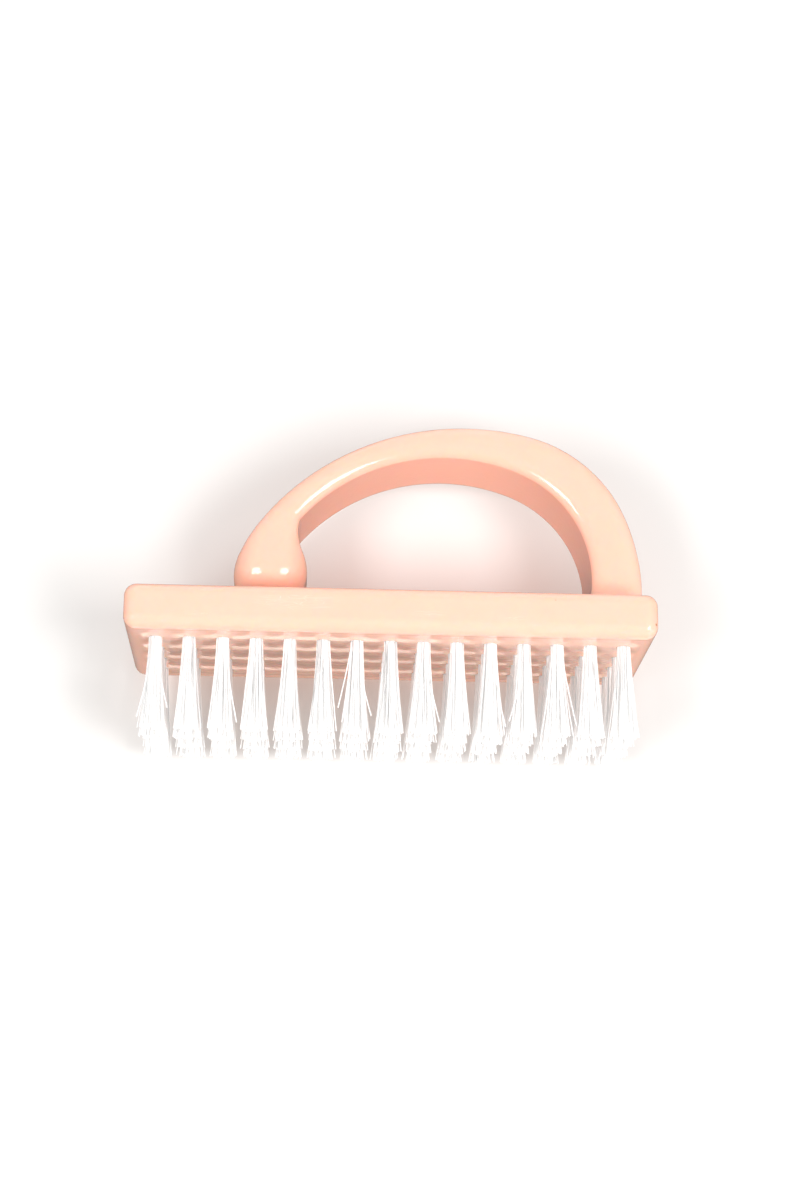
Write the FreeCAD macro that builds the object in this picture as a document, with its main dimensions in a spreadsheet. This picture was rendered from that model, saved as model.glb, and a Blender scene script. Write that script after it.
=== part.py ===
"""Nail brush: a moulded block with an open hook handle, tufts of nylon and their anchor staples.

The brush stands on its bristle tips. X runs along the block, from the free end of the handle
to its fixed leg, Y runs across the block and Z runs up from the tips to the handle.
All sizes are in millimetres.
"""

import FreeCAD, Part

import math
import os

import Sketcher

# Driving dimensions

SIZES = {
    # The block
    "BlockLength": 90.0,
    "BlockWidth": 36.0,
    "BlockThickness": 7.7,
    "BlockEdgeRadius": 2.1,
    # The handle's outside, followed from its leg over the shoulder and the crown
    "HandleDepth": 17.0,
    "HandleRise": 32.4,
    "HandleEdgeRadius": 1.75,
    "HandleRoot": 5.0,
    "RootFlare": 0.8,
    "LegInset": 1.38,
    "LegRadius": 36.0,
    "ShoulderDrop": 15.1,
    "ShoulderRadius": 24.5,
    "ShoulderSpan": 10.8,
    "CrownRadius": 45.0,
    # The finger opening inside the handle: its arcs are tighter than the outside by the easings
    "LegThickness": 8.75,
    "CrownThickness": 5.6,
    "ShoulderEasing": 3.5,
    "CrownEasing": 12.0,
    "InnerShoulderSpan": 13.5,
    "ThroatRadius": 4.0,
    # The drop at the handle's free end
    "DropWidth": 12.55,
    "DropBackHeight": 9.1,
    "DropBackRadius": 7.3,
    "DropFrontHeight": 6.3,
    "DropFrontRadius": 10.0,
    "DropGap": 1.0,
    # The tuft field on the underside: one ridge under each row
    "FieldEndMargin": 5.24,
    "RowPitch": 7.2,
    "RidgeHeight": 0.25,
    "RidgeEndMargin": 2.4,
    "HoleWidth": 2.4,
    "HoleDepth": 5.2,
    # The tufts
    "BristleReach": 15.9,
    "TuftClearance": 0.03,
    "TuftNeck": 3.4,
    "TipGap": 0.78,
    # The anchor staples
    "AnchorThickness": 0.3,
    "AnchorHeight": 1.9,
    # Shared by every cut and by every shape that is sunk into its neighbour
    "Overrun": 0.5,
}

COUNTS = {
    "ColumnCount": 15,
    "RowCount": 4,
}

TUFT_SIDES = 6


def make_sheet(doc):
    """Write every driving dimension into a spreadsheet cell with an alias."""
    sheet = doc.addObject("Spreadsheet::Sheet", "Sizes")
    for row, (name, value) in enumerate({**SIZES, **COUNTS}.items(), start=1):
        sheet.set(f"A{row}", name)
        sheet.set(f"B{row}", str(value))
        sheet.setAlias(f"B{row}", name)
    doc.recompute()
    return sheet


class Sizes:
    """The sheet's values, read by name, with the sizes that follow from them."""

    def __init__(self, sheet):
        self.sheet = sheet

    def __getattr__(self, name):
        return float(self.sheet.get(name))

    @property
    def end_x(self):
        return self.BlockLength / 2

    @property
    def front_y(self):
        return self.BlockWidth / 2

    @property
    def inner_crown_radius(self):
        return self.CrownRadius - self.CrownEasing

    @property
    def inner_shoulder_radius(self):
        return self.ShoulderRadius - self.ShoulderEasing

    @property
    def tuft_width(self):
        return self.HoleWidth - 2 * self.TuftClearance

    @property
    def tip_width(self):
        pitch = (self.BlockLength - 2 * self.FieldEndMargin) / (self.ColumnCount - 1)
        return pitch - self.TipGap


# Expressions that several features share

COLUMN_PITCH = "(Sizes.BlockLength - 2 * Sizes.FieldEndMargin) / (Sizes.ColumnCount - 1)"
FIRST_HOLE_X = "Sizes.FieldEndMargin - Sizes.BlockLength / 2"
FIRST_HOLE_Y = "-Sizes.RowPitch * (Sizes.RowCount - 1) / 2"
MOUTH_DEPTH = "Sizes.RidgeHeight + Sizes.Overrun"
TUFT_WIDTH = "Sizes.HoleWidth - 2 * Sizes.TuftClearance"
TIP_WIDTH = f"{COLUMN_PITCH} - Sizes.TipGap"

# Sketch helpers: the sketcher numbers the points of a shape and its own axes

START, END, CENTRE = range(1, 4)
X_AXIS, Y_AXIS = range(-1, -3, -1)
ORIGIN = (X_AXIS, START)
UP = FreeCAD.Vector(0, 0, 1)


def vector(x, y):
    return FreeCAD.Vector(x, y, 0)


def origin_feature(body, role):
    """Find one of the body's own origin planes or axes by its role."""
    return next(f for f in body.Origin.OriginFeatures if f.Role == role)


def add_sketch(body, name, role, height=None):
    """Add a sketch on an origin plane, raised by an expression along the plane's normal."""
    sketch = body.newObject("Sketcher::SketchObject", name)
    sketch.AttachmentSupport = [(origin_feature(body, role), "")]
    sketch.MapMode = "FlatFace"
    if height:
        sketch.setExpression("AttachmentOffset.Base.z", height)
    return sketch


def bind(sketch, constraint, expression):
    """Add a dimension to a sketch and bind it to the sheet."""
    index = sketch.addConstraint(constraint)
    sketch.setExpression(f"Constraints[{index}]", expression)
    return index


def line(start, end):
    return Part.LineSegment(vector(*start), vector(*end))


def arc(centre, radius, start_angle, end_angle):
    """An arc that runs anticlockwise between two angles in radians."""
    return Part.ArcOfCircle(Part.Circle(vector(*centre), UP, radius), start_angle, end_angle)


def arc_between(centre, first, last):
    """An arc around a centre that runs anticlockwise from one point to another."""
    first_angle = math.atan2(first[1] - centre[1], first[0] - centre[0])
    last_angle = math.atan2(last[1] - centre[1], last[0] - centre[0])
    return arc(centre, math.dist(centre, first), first_angle, last_angle)


def join(sketch, *pairs):
    for first, first_end, second, second_end in pairs:
        sketch.addConstraint(Sketcher.Constraint("Coincident", first, first_end, second, second_end))


def rectangle(sketch, low, high, expressions):
    """Draw a rectangle whose low x, low y, high x and high y are each bound to an expression."""
    bottom, side, top, other = sketch.addGeometry(
        [
            line(low, (high[0], low[1])),
            line((high[0], low[1]), high),
            line(high, (low[0], high[1])),
            line((low[0], high[1]), low),
        ]
    )
    join(
        sketch,
        (bottom, END, side, START),
        (side, END, top, START),
        (top, END, other, START),
        (other, END, bottom, START),
    )
    for edge in (bottom, top):
        sketch.addConstraint(Sketcher.Constraint("Horizontal", edge))
    for edge in (side, other):
        sketch.addConstraint(Sketcher.Constraint("Vertical", edge))
    for corner, point in ((bottom, low), (top, high)):
        for kind, value in zip(("DistanceX", "DistanceY"), point):
            expression = expressions[0]
            expressions = expressions[1:]
            bind(sketch, Sketcher.Constraint(kind, *ORIGIN, corner, START, value), expression)


def regular_polygon(sketch, width, expression):
    """Draw a regular polygon, flat at its right and left, by its width across the flats."""
    angle = math.pi / TUFT_SIDES
    reach = width / 2 / math.cos(angle)
    turns = [angle * (2 * index - 1) for index in range(TUFT_SIDES)]
    corners = [(reach * math.cos(turn), reach * math.sin(turn)) for turn in turns]
    rim = sketch.addGeometry(Part.Circle(vector(0, 0), UP, reach), True)
    sketch.addConstraint(Sketcher.Constraint("Coincident", rim, CENTRE, *ORIGIN))
    sides = [
        sketch.addGeometry(line(corner, following))
        for corner, following in zip(corners, corners[1:] + corners[:1])
    ]
    for side, following in zip(sides, sides[1:] + sides[:1]):
        join(sketch, (side, END, following, START))
        sketch.addConstraint(Sketcher.Constraint("PointOnObject", side, START, rim))
    for side in sides[1:]:
        sketch.addConstraint(Sketcher.Constraint("Equal", sides[0], side))
    sketch.addConstraint(Sketcher.Constraint("Vertical", sides[0]))
    bind(sketch, Sketcher.Constraint("DistanceX", *ORIGIN, sides[0], START, width / 2), expression)


# The handle's outline


def on_circle(centre, radius, x=None, y=None, side=1):
    """The point of a circle at a given x or y, on the upper or right side, or on the other."""
    if x is not None:
        return (x, centre[1] + side * math.sqrt(radius**2 - (x - centre[0]) ** 2))
    return (centre[0] + side * math.sqrt(radius**2 - (y - centre[1]) ** 2), y)


def along(start, towards, distance):
    """The point at a distance from a start, on the line from it towards another point."""
    share = distance / math.dist(start, towards)
    return tuple(a + (b - a) * share for a, b in zip(start, towards))


def left_crossing(first, first_radius, second, second_radius):
    """The point where two circles cross, on the left as seen from the first centre."""
    gap = math.dist(first, second)
    reach = (first_radius**2 - second_radius**2 + gap**2) / (2 * gap)
    offset = math.sqrt(first_radius**2 - reach**2)
    x, y = along(first, second, reach)
    step_x, step_y = ((b - a) * offset / gap for a, b in zip(first, second))
    return (x - step_y, y + step_x)


def outer_arcs(sizes):
    """Centres and joints of the crown, shoulder and leg arcs, all tangent to one another."""
    top = sizes.BlockThickness + sizes.HandleRise
    crown = (0, top - sizes.CrownRadius)
    shoulder_start = on_circle(crown, sizes.CrownRadius, x=sizes.ShoulderSpan)
    shoulder = along(shoulder_start, crown, sizes.ShoulderRadius)
    shoulder_end = on_circle(shoulder, sizes.ShoulderRadius, y=top - sizes.ShoulderDrop)
    leg = along(shoulder_end, shoulder, sizes.LegRadius)
    leg_top = (leg[0] + sizes.LegRadius, leg[1])
    shift = sizes.end_x - sizes.LegInset - leg_top[0]
    found = (crown, shoulder_start, shoulder, shoulder_end, leg, leg_top)
    return [(x + shift, y) for x, y in found]


def inner_arcs(sizes):
    """Centres and joint of the opening's crown and shoulder arcs, set out from the leg."""
    leg_x = sizes.end_x - sizes.LegInset - sizes.LegThickness
    shoulder_x = leg_x - sizes.inner_shoulder_radius
    joint_x = leg_x - sizes.InnerShoulderSpan
    slope = (joint_x - shoulder_x) / sizes.inner_shoulder_radius
    top = sizes.BlockThickness + sizes.HandleRise - sizes.CrownThickness
    crown = (
        joint_x - slope * sizes.inner_crown_radius,
        top - sizes.inner_crown_radius,
    )
    joint = on_circle(crown, sizes.inner_crown_radius, x=joint_x)
    shoulder = along(joint, crown, sizes.inner_shoulder_radius)
    return crown, joint, shoulder, (leg_x, shoulder[1])


def handle_points(sizes):
    """Work out where the arcs of the handle's outline meet, and their centres."""
    block_top = sizes.BlockThickness
    crown, shoulder_start, shoulder, shoulder_end, leg, leg_top = outer_arcs(sizes)
    inner_crown, inner_joint, inner_shoulder, inner_leg_top = inner_arcs(sizes)

    back_joint = on_circle(crown, sizes.CrownRadius, y=block_top + sizes.DropBackHeight, side=-1)
    drop_back = along(back_joint, crown, sizes.DropBackRadius)
    back_toe = (drop_back[0] - sizes.DropBackRadius, drop_back[1])
    front_toe = (back_toe[0] + sizes.DropWidth, block_top + sizes.DropFrontHeight)
    drop_front = (front_toe[0] - sizes.DropFrontRadius, front_toe[1])
    throat = left_crossing(
        drop_front,
        sizes.DropFrontRadius + sizes.ThroatRadius,
        inner_crown,
        sizes.inner_crown_radius - sizes.ThroatRadius,
    )
    throat_start = along(inner_crown, throat, sizes.inner_crown_radius)
    throat_end = along(drop_front, throat, sizes.DropFrontRadius)

    drop_low = block_top + sizes.DropGap
    foot_y = block_top - sizes.HandleRoot
    return dict(
        crown=crown,
        shoulder_start=shoulder_start,
        shoulder=shoulder,
        shoulder_end=shoulder_end,
        leg=leg,
        leg_top=leg_top,
        leg_foot=(leg_top[0], foot_y),
        inner_foot=(inner_leg_top[0], foot_y),
        inner_leg_top=inner_leg_top,
        inner_shoulder=inner_shoulder,
        inner_joint=inner_joint,
        inner_crown=inner_crown,
        throat_start=throat_start,
        throat=throat,
        throat_end=throat_end,
        drop_front=drop_front,
        front_side=front_toe,
        front_corner=(front_toe[0] - (front_toe[1] - drop_low), front_toe[1]),
        front_base=(front_toe[0] - (front_toe[1] - drop_low), drop_low),
        back_base=(back_toe[0] + (back_toe[1] - drop_low), drop_low),
        back_corner=(back_toe[0] + (back_toe[1] - drop_low), back_toe[1]),
        back_side=back_toe,
        drop_back=drop_back,
        back_joint=back_joint,
    )


def draw_handle(sketch, sizes):
    """Draw the handle's side view as a closed chain of tangent arcs and lines."""
    p = handle_points(sizes)
    names = {}

    def add(name, shape):
        names[name] = sketch.addGeometry(shape)

    add("leg_line", line(p["leg_foot"], p["leg_top"]))
    add("leg", arc_between(p["leg"], p["leg_top"], p["shoulder_end"]))
    add("shoulder", arc_between(p["shoulder"], p["shoulder_end"], p["shoulder_start"]))
    add("crown", arc_between(p["crown"], p["shoulder_start"], p["back_joint"]))
    add("drop_back", arc_between(p["drop_back"], p["back_joint"], p["back_side"]))
    add("back_corner", arc_between(p["back_corner"], p["back_side"], p["back_base"]))
    add("base", line(p["back_base"], p["front_base"]))
    add("front_corner", arc_between(p["front_corner"], p["front_base"], p["front_side"]))
    add("drop_front", arc_between(p["drop_front"], p["front_side"], p["throat_end"]))
    add("throat", arc_between(p["throat"], p["throat_start"], p["throat_end"]))
    add("inner_crown", arc_between(p["inner_crown"], p["inner_joint"], p["throat_start"]))
    add("inner_shoulder", arc_between(p["inner_shoulder"], p["inner_leg_top"], p["inner_joint"]))
    add("inner_leg", line(p["inner_foot"], p["inner_leg_top"]))
    add("foot", line(p["inner_foot"], p["leg_foot"]))

    tangent_joints = [
        ("leg_line", END, "leg", START),
        ("leg", END, "shoulder", START),
        ("shoulder", END, "crown", START),
        ("crown", END, "drop_back", START),
        ("drop_back", END, "back_corner", START),
        ("back_corner", END, "base", START),
        ("base", END, "front_corner", START),
        ("front_corner", END, "drop_front", START),
        ("drop_front", END, "throat", END),
        ("throat", START, "inner_crown", END),
        ("inner_crown", START, "inner_shoulder", END),
        ("inner_shoulder", START, "inner_leg", END),
    ]
    for first, first_end, second, second_end in tangent_joints:
        sketch.addConstraint(
            Sketcher.Constraint("Tangent", names[first], first_end, names[second], second_end)
        )
    join(
        sketch,
        (names["inner_leg"], START, names["foot"], START),
        (names["foot"], END, names["leg_line"], START),
    )
    for name in ("leg_line", "inner_leg"):
        sketch.addConstraint(Sketcher.Constraint("Vertical", names[name]))
    for name in ("base", "foot"):
        sketch.addConstraint(Sketcher.Constraint("Horizontal", names[name]))
    for arc_name, corner_name in (("drop_back", "back_corner"), ("drop_front", "front_corner")):
        sketch.addConstraint(
            Sketcher.Constraint("Horizontal", names[arc_name], CENTRE, names[corner_name], CENTRE)
        )

    radii = {
        "leg": "Sizes.LegRadius",
        "shoulder": "Sizes.ShoulderRadius",
        "crown": "Sizes.CrownRadius",
        "drop_back": "Sizes.DropBackRadius",
        "drop_front": "Sizes.DropFrontRadius",
        "throat": "Sizes.ThroatRadius",
        "inner_crown": "Sizes.CrownRadius - Sizes.CrownEasing",
        "inner_shoulder": "Sizes.ShoulderRadius - Sizes.ShoulderEasing",
    }
    for name, expression in radii.items():
        value = sketch.Geometry[names[name]].Radius
        bind(sketch, Sketcher.Constraint("Radius", names[name], value), expression)

    top = "Sizes.BlockThickness + Sizes.HandleRise"
    inner_top = f"{top} - Sizes.CrownThickness"
    inner_radius = "(Sizes.CrownRadius - Sizes.CrownEasing)"
    places = [
        ("DistanceY", "shoulder", START, f"{top} - Sizes.ShoulderDrop"),
        ("DistanceY", "crown", CENTRE, f"{top} - Sizes.CrownRadius"),
        ("DistanceY", "inner_crown", CENTRE, f"{inner_top} - {inner_radius}"),
        ("DistanceY", "drop_back", START, "Sizes.BlockThickness + Sizes.DropBackHeight"),
        ("DistanceY", "drop_front", START, "Sizes.BlockThickness + Sizes.DropFrontHeight"),
        ("DistanceY", "base", START, "Sizes.BlockThickness + Sizes.DropGap"),
        ("DistanceY", "foot", START, "Sizes.BlockThickness - Sizes.HandleRoot"),
        ("DistanceX", "leg_line", START, "Sizes.BlockLength / 2 - Sizes.LegInset"),
    ]
    for kind, name, end, expression in places:
        point = sketch.getPoint(names[name], end)
        value = point.y if kind == "DistanceY" else point.x
        bind(sketch, Sketcher.Constraint(kind, *ORIGIN, names[name], end, value), expression)

    spans = [
        ("crown", CENTRE, "crown", START, "Sizes.ShoulderSpan"),
        ("foot", START, "foot", END, "Sizes.LegThickness"),
        ("inner_shoulder", END, "inner_leg", END, "Sizes.InnerShoulderSpan"),
        ("drop_back", END, "drop_front", START, "Sizes.DropWidth"),
    ]
    for first, first_end, second, second_end, expression in spans:
        points = (names[first], first_end), (names[second], second_end)
        value = sketch.getPoint(*points[1]).x - sketch.getPoint(*points[0]).x
        bind(sketch, Sketcher.Constraint("DistanceX", *points[0], *points[1], value), expression)


# The brush body


TOUCH = 1e-6
EDGE_SAMPLES = 5


def edges_where(shape, everywhere, somewhere=None):
    """Names of the edges that pass one test all along and, if given, another at some point."""
    found = []
    for index, edge in enumerate(shape.Edges, start=1):
        first, last = edge.ParameterRange
        steps = [step / (EDGE_SAMPLES - 1) for step in range(EDGE_SAMPLES)]
        samples = [edge.valueAt(first + (last - first) * share) for share in steps]
        if all(map(everywhere, samples)) and (somewhere is None or any(map(somewhere, samples))):
            found.append(f"Edge{index}")
    return found


def dress_edges(body, kind, name, base, edges, size):
    """Round or bevel some edges; the sheet gives the fillet's radius or the bevel's width."""
    dressing = body.newObject(f"PartDesign::{kind}", name)
    dressing.Base = (base, edges)
    dressing.setExpression("Radius" if kind == "Fillet" else "Size", size)
    body.Document.recompute()
    return dressing


def repeat_over_rows(body, name, features):
    """Repeat features, or the whole body where none is given, over the tuft field's rows."""
    pattern = body.newObject("PartDesign::LinearPattern", name)
    if features:
        pattern.Originals = features
    else:
        pattern.TransformMode = "Whole shape"
    pattern.Direction = (origin_feature(body, "Y_Axis"), [""])
    pattern.Mode = "Spacing"
    pattern.setExpression("Offset", "Sizes.RowPitch")
    pattern.setExpression("Occurrences", "Sizes.RowCount")
    body.Tip = pattern
    body.Document.recompute()
    return pattern


def repeat_over_columns(pattern):
    """Let a pattern over the rows run over the tuft field's columns too."""
    body = pattern.getParentGeoFeatureGroup()
    pattern.Direction2 = (origin_feature(body, "X_Axis"), [""])
    pattern.Mode2 = "Spacing"
    pattern.setExpression("Offset2", COLUMN_PITCH)
    pattern.setExpression("Occurrences2", "Sizes.ColumnCount")
    body.Document.recompute()


def draw_ridge(sketch, sizes):
    """Draw a ridge's end view: two low slopes as wide as a row, closed inside the block."""
    half = sizes.RowPitch / 2
    sunk = sizes.Overrun
    corners = [(-half, sunk), (-half, 0), (0, -sizes.RidgeHeight), (half, 0), (half, sunk)]
    sides = [
        sketch.addGeometry(line(corner, following))
        for corner, following in zip(corners, corners[1:] + corners[:1])
    ]
    for side, following in zip(sides, sides[1:] + sides[:1]):
        join(sketch, (side, END, following, START))
    left, left_slope, right_slope, right, lid = sides
    for upright in (left, right):
        sketch.addConstraint(Sketcher.Constraint("Vertical", upright))
    sketch.addConstraint(Sketcher.Constraint("Horizontal", lid))
    for foot in (left_slope, right):
        sketch.addConstraint(Sketcher.Constraint("PointOnObject", foot, START, X_AXIS))
    sketch.addConstraint(Sketcher.Constraint("PointOnObject", right_slope, START, Y_AXIS))
    crest = (right_slope, START)
    distances = [
        ("DistanceX", (left_slope, START), ORIGIN, half, "Sizes.RowPitch / 2"),
        ("DistanceX", ORIGIN, (right, START), half, "Sizes.RowPitch / 2"),
        ("DistanceY", crest, ORIGIN, sizes.RidgeHeight, "Sizes.RidgeHeight"),
        ("DistanceY", ORIGIN, (lid, START), sunk, "Sizes.Overrun"),
    ]
    for kind, first, second, value, expression in distances:
        bind(sketch, Sketcher.Constraint(kind, *first, *second, value), expression)


def make_handle(doc, sizes):
    """The hook handle by itself, its rims rounded and its foot long enough to sink into the block."""
    body = doc.addObject("PartDesign::Body", "HandleBlank")
    side_view = add_sketch(body, "HandleSideView", "XZ_Plane")
    draw_handle(side_view, sizes)
    handle = body.newObject("PartDesign::Pad", "Handle")
    handle.Profile = side_view
    handle.SideType = "Symmetric"
    handle.setExpression("Length", "Sizes.HandleDepth")
    doc.recompute()

    half_depth = sizes.HandleDepth / 2
    foot_z = sizes.BlockThickness - sizes.HandleRoot
    rims = edges_where(
        handle.Shape,
        lambda p: abs(abs(p.y) - half_depth) < TOUCH,
        lambda p: p.z > foot_z + TOUCH,
    )
    dress_edges(body, "Fillet", "HandleEdges", handle, rims, "Sizes.HandleEdgeRadius")
    return body


def make_body(doc, sizes):
    """The one moulding: block, hook handle, ridged underside and tuft holes."""
    body = doc.addObject("PartDesign::Body", "brush_body")
    body.Label = "brush_body"
    body.setExpression("Placement.Base.z", "Sizes.BristleReach")

    outline = add_sketch(body, "BlockOutline", "XY_Plane")
    rectangle(
        outline,
        (-sizes.end_x, -sizes.front_y),
        (sizes.end_x, sizes.front_y),
        (
            "-Sizes.BlockLength / 2",
            "-Sizes.BlockWidth / 2",
            "Sizes.BlockLength / 2",
            "Sizes.BlockWidth / 2",
        ),
    )
    block = body.newObject("PartDesign::Pad", "Block")
    block.Profile = outline
    block.setExpression("Length", "Sizes.BlockThickness")
    doc.recompute()
    edges = [f"Edge{index + 1}" for index in range(len(block.Shape.Edges))]
    dress_edges(body, "Fillet", "BlockEdges", block, edges, "Sizes.BlockEdgeRadius")

    joined = body.newObject("PartDesign::Boolean", "BlockWithHandle")
    joined.Type = "Fuse"
    joined.addObject(make_handle(doc, sizes))
    doc.recompute()

    top_z = sizes.BlockThickness
    half_depth = sizes.HandleDepth / 2
    root = edges_where(
        joined.Shape,
        lambda p: abs(p.y) < half_depth + TOUCH and p.z < top_z + TOUCH,
        lambda p: abs(p.z - top_z) < sizes.BlockEdgeRadius / 2 and p.x < sizes.end_x - TOUCH,
    )
    dress_edges(body, "Chamfer", "HandleRootFlare", joined, root, "Sizes.RootFlare")

    ridge_sketch = add_sketch(body, "RidgeEndView", "YZ_Plane")
    ridge_sketch.setExpression("AttachmentOffset.Base.x", FIRST_HOLE_Y)
    draw_ridge(ridge_sketch, sizes)
    ridge = body.newObject("PartDesign::Pad", "Ridge")
    ridge.Profile = ridge_sketch
    ridge.SideType = "Symmetric"
    ridge.setExpression("Length", "Sizes.BlockLength - 2 * Sizes.RidgeEndMargin")
    doc.recompute()
    repeat_over_rows(body, "Ridges", [ridge])

    hole_sketch = add_sketch(body, "HoleOutline", "XY_Plane", f"-({MOUTH_DEPTH})")
    hole_sketch.setExpression("AttachmentOffset.Base.x", FIRST_HOLE_X)
    hole_sketch.setExpression("AttachmentOffset.Base.y", FIRST_HOLE_Y)
    regular_polygon(hole_sketch, sizes.HoleWidth, "Sizes.HoleWidth / 2")
    hole = body.newObject("PartDesign::Pocket", "TuftHole")
    hole.Profile = hole_sketch
    hole.Reversed = True
    hole.setExpression("Length", f"Sizes.HoleDepth + {MOUTH_DEPTH}")
    doc.recompute()
    repeat_over_columns(repeat_over_rows(body, "TuftHoles", [hole]))
    return body


def make_column(doc, label, index):
    """An empty body whose origin lies under a column's first hole, on the block's underside."""
    body = doc.addObject("PartDesign::Body", label)
    body.Label = label
    body.AllowCompound = True
    body.setExpression("Placement.Base.x", f"{FIRST_HOLE_X} + {index} * {COLUMN_PITCH}")
    body.setExpression("Placement.Base.y", FIRST_HOLE_Y)
    body.setExpression("Placement.Base.z", "Sizes.BristleReach")
    return body


def make_tufts(doc, sizes, index):
    """One column of tufts: each flares to its tip, and its neck stands in the hole on its staple."""
    body = make_column(doc, f"bristle_tufts_{index + 1:02d}", index)
    tip_outline = add_sketch(body, "TipOutline", "XY_Plane", "-Sizes.BristleReach")
    regular_polygon(tip_outline, sizes.tip_width, f"({TIP_WIDTH}) / 2")
    brush = body.newObject("PartDesign::Pad", "Brush")
    brush.Profile = tip_outline
    brush.setExpression("Length", "Sizes.BristleReach - Sizes.TuftNeck")
    doc.recompute()

    faces = [(f"Face{number}", face) for number, face in enumerate(brush.Shape.Faces, start=1)]
    tip = min(faces, key=lambda item: item[1].CenterOfMass.z)[0]
    flare = body.newObject("PartDesign::Draft", "Flare")
    flare.Base = (brush, [name for name, face in faces if abs(face.normalAt(0, 0).z) < TOUCH])
    flare.NeutralPlane = (brush, [tip])
    spread = f"({TIP_WIDTH} - ({TUFT_WIDTH})) / 2"
    flare.setExpression("Angle", f"atan({spread} / (Sizes.BristleReach - Sizes.TuftNeck))")
    doc.recompute()

    neck_outline = add_sketch(body, "NeckOutline", "XY_Plane", "-Sizes.TuftNeck")
    regular_polygon(neck_outline, sizes.tuft_width, f"({TUFT_WIDTH}) / 2")
    neck = body.newObject("PartDesign::Pad", "Neck")
    neck.Profile = neck_outline
    neck.setExpression("Length", "Sizes.TuftNeck + Sizes.HoleDepth - Sizes.AnchorHeight")
    doc.recompute()
    repeat_over_rows(body, "Rows", [])
    return body


def make_anchors(doc, sizes, index):
    """One column of anchor staples, cut from flat wire and wedged across the ends of the holes."""
    body = make_column(doc, f"anchor_staples_{index + 1:02d}", index)
    outline = add_sketch(body, "AnchorOutline", "XY_Plane", "Sizes.HoleDepth - Sizes.AnchorHeight")
    x = sizes.HoleWidth / 2
    y = sizes.AnchorThickness / 2
    rectangle(
        outline,
        (-x, -y),
        (x, y),
        (
            "-Sizes.HoleWidth / 2",
            "-Sizes.AnchorThickness / 2",
            "Sizes.HoleWidth / 2",
            "Sizes.AnchorThickness / 2",
        ),
    )
    anchor = body.newObject("PartDesign::Pad", "Anchor")
    anchor.Profile = outline
    anchor.setExpression("Length", "Sizes.AnchorHeight")
    doc.recompute()
    repeat_over_rows(body, "Rows", [anchor])
    return body


def check(doc, parts):
    """Stop if any object failed, or if a part is empty, broken or in the wrong number of solids."""
    for item in doc.Objects:
        if "Invalid" in item.State or "Error" in item.State:
            raise RuntimeError(f"{item.Name} is {item.State}")
    for part, solids in parts:
        shape = part.Shape
        if shape.isNull() or not shape.isValid():
            raise RuntimeError(f"{part.Label} has no valid shape")
        if len(shape.Solids) != solids:
            raise RuntimeError(f"{part.Label} has {len(shape.Solids)} solids, not {solids}")


def main():
    """Build every piece, check it and write one file for each node."""
    doc = FreeCAD.newDocument("NailBrush")
    sizes = Sizes(make_sheet(doc))
    rows = int(sizes.RowCount)
    parts = [(make_body(doc, sizes), 1)]
    for index in range(int(sizes.ColumnCount)):
        parts.append((make_tufts(doc, sizes, index), rows))
        parts.append((make_anchors(doc, sizes, index), rows))
    doc.recompute()
    check(doc, parts)

    os.makedirs("parts", exist_ok=True)
    for part, _ in parts:
        part.Shape.exportStep(os.path.join("parts", f"{part.Label}.step"))


main()
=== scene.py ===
"""A peach nail brush with an open hook handle, standing on its bristle tips.

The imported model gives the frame: metres, Z up from the bristle tips, X along the block towards
the handle's fixed leg, and Y across the block. Sizes in this file are in millimetres and are
scaled by MM when a mesh, a finish, a lamp or the camera is made.
"""

import itertools
import logging
import math
from dataclasses import dataclass, field
from enum import Enum
from typing import Any, Sequence

import bmesh
import bpy
import numpy as np
from mathutils import Matrix, Vector


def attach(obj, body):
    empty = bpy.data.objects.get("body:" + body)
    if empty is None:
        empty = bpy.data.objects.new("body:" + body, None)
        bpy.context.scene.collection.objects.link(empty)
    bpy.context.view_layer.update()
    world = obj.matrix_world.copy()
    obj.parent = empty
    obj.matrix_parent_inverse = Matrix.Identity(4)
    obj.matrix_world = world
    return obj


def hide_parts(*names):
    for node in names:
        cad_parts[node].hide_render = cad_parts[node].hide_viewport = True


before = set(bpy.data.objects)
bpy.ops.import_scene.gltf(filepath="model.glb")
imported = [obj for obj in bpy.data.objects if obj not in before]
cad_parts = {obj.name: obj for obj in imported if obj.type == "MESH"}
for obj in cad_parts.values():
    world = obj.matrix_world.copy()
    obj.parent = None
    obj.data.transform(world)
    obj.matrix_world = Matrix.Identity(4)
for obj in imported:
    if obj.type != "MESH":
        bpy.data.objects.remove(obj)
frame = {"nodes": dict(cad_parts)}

MM = 0.001
FULL_TURN = 2.0 * math.pi
GOLDEN_ANGLE = 2.399963
NOISE_RANGE = (0.3, 0.7)
WHITE = (1.0, 1.0, 1.0, 1.0)
ROOT_BODY = "root"
COLUMN_COUNT = 15

log = logging.getLogger("nail_brush")

Pair = tuple[float, float]
Point = tuple[float, float, float]
Colour = tuple[float, float, float]
Material = bpy.types.Material
Node = bpy.types.Node
NodeTree = bpy.types.NodeTree
Output = bpy.types.NodeSocket


# Small helpers


def smooth_step(ends: Pair, value: np.ndarray, base: float = 0.0) -> np.ndarray:
    """Rise smoothly from 0 to 1 between two ends.

    Args:
        ends: Where the rise begins and ends. It is a fall if the first lies above the second.
        value: The places to work it out for.
        base: What the ends are counted from.

    Returns:
        The share reached at each place.
    """
    low, high = base + ends[0], base + ends[1]
    share = np.clip((value - low) / (high - low), 0.0, 1.0)
    return share * share * (3.0 - 2.0 * share)


def along(start: Pair, towards: Pair, distance: float) -> Pair:
    """Step a distance from one point on the line towards another."""
    share = distance / math.dist(start, towards)
    return (
        start[0] + (towards[0] - start[0]) * share,
        start[1] + (towards[1] - start[1]) * share,
    )


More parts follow.
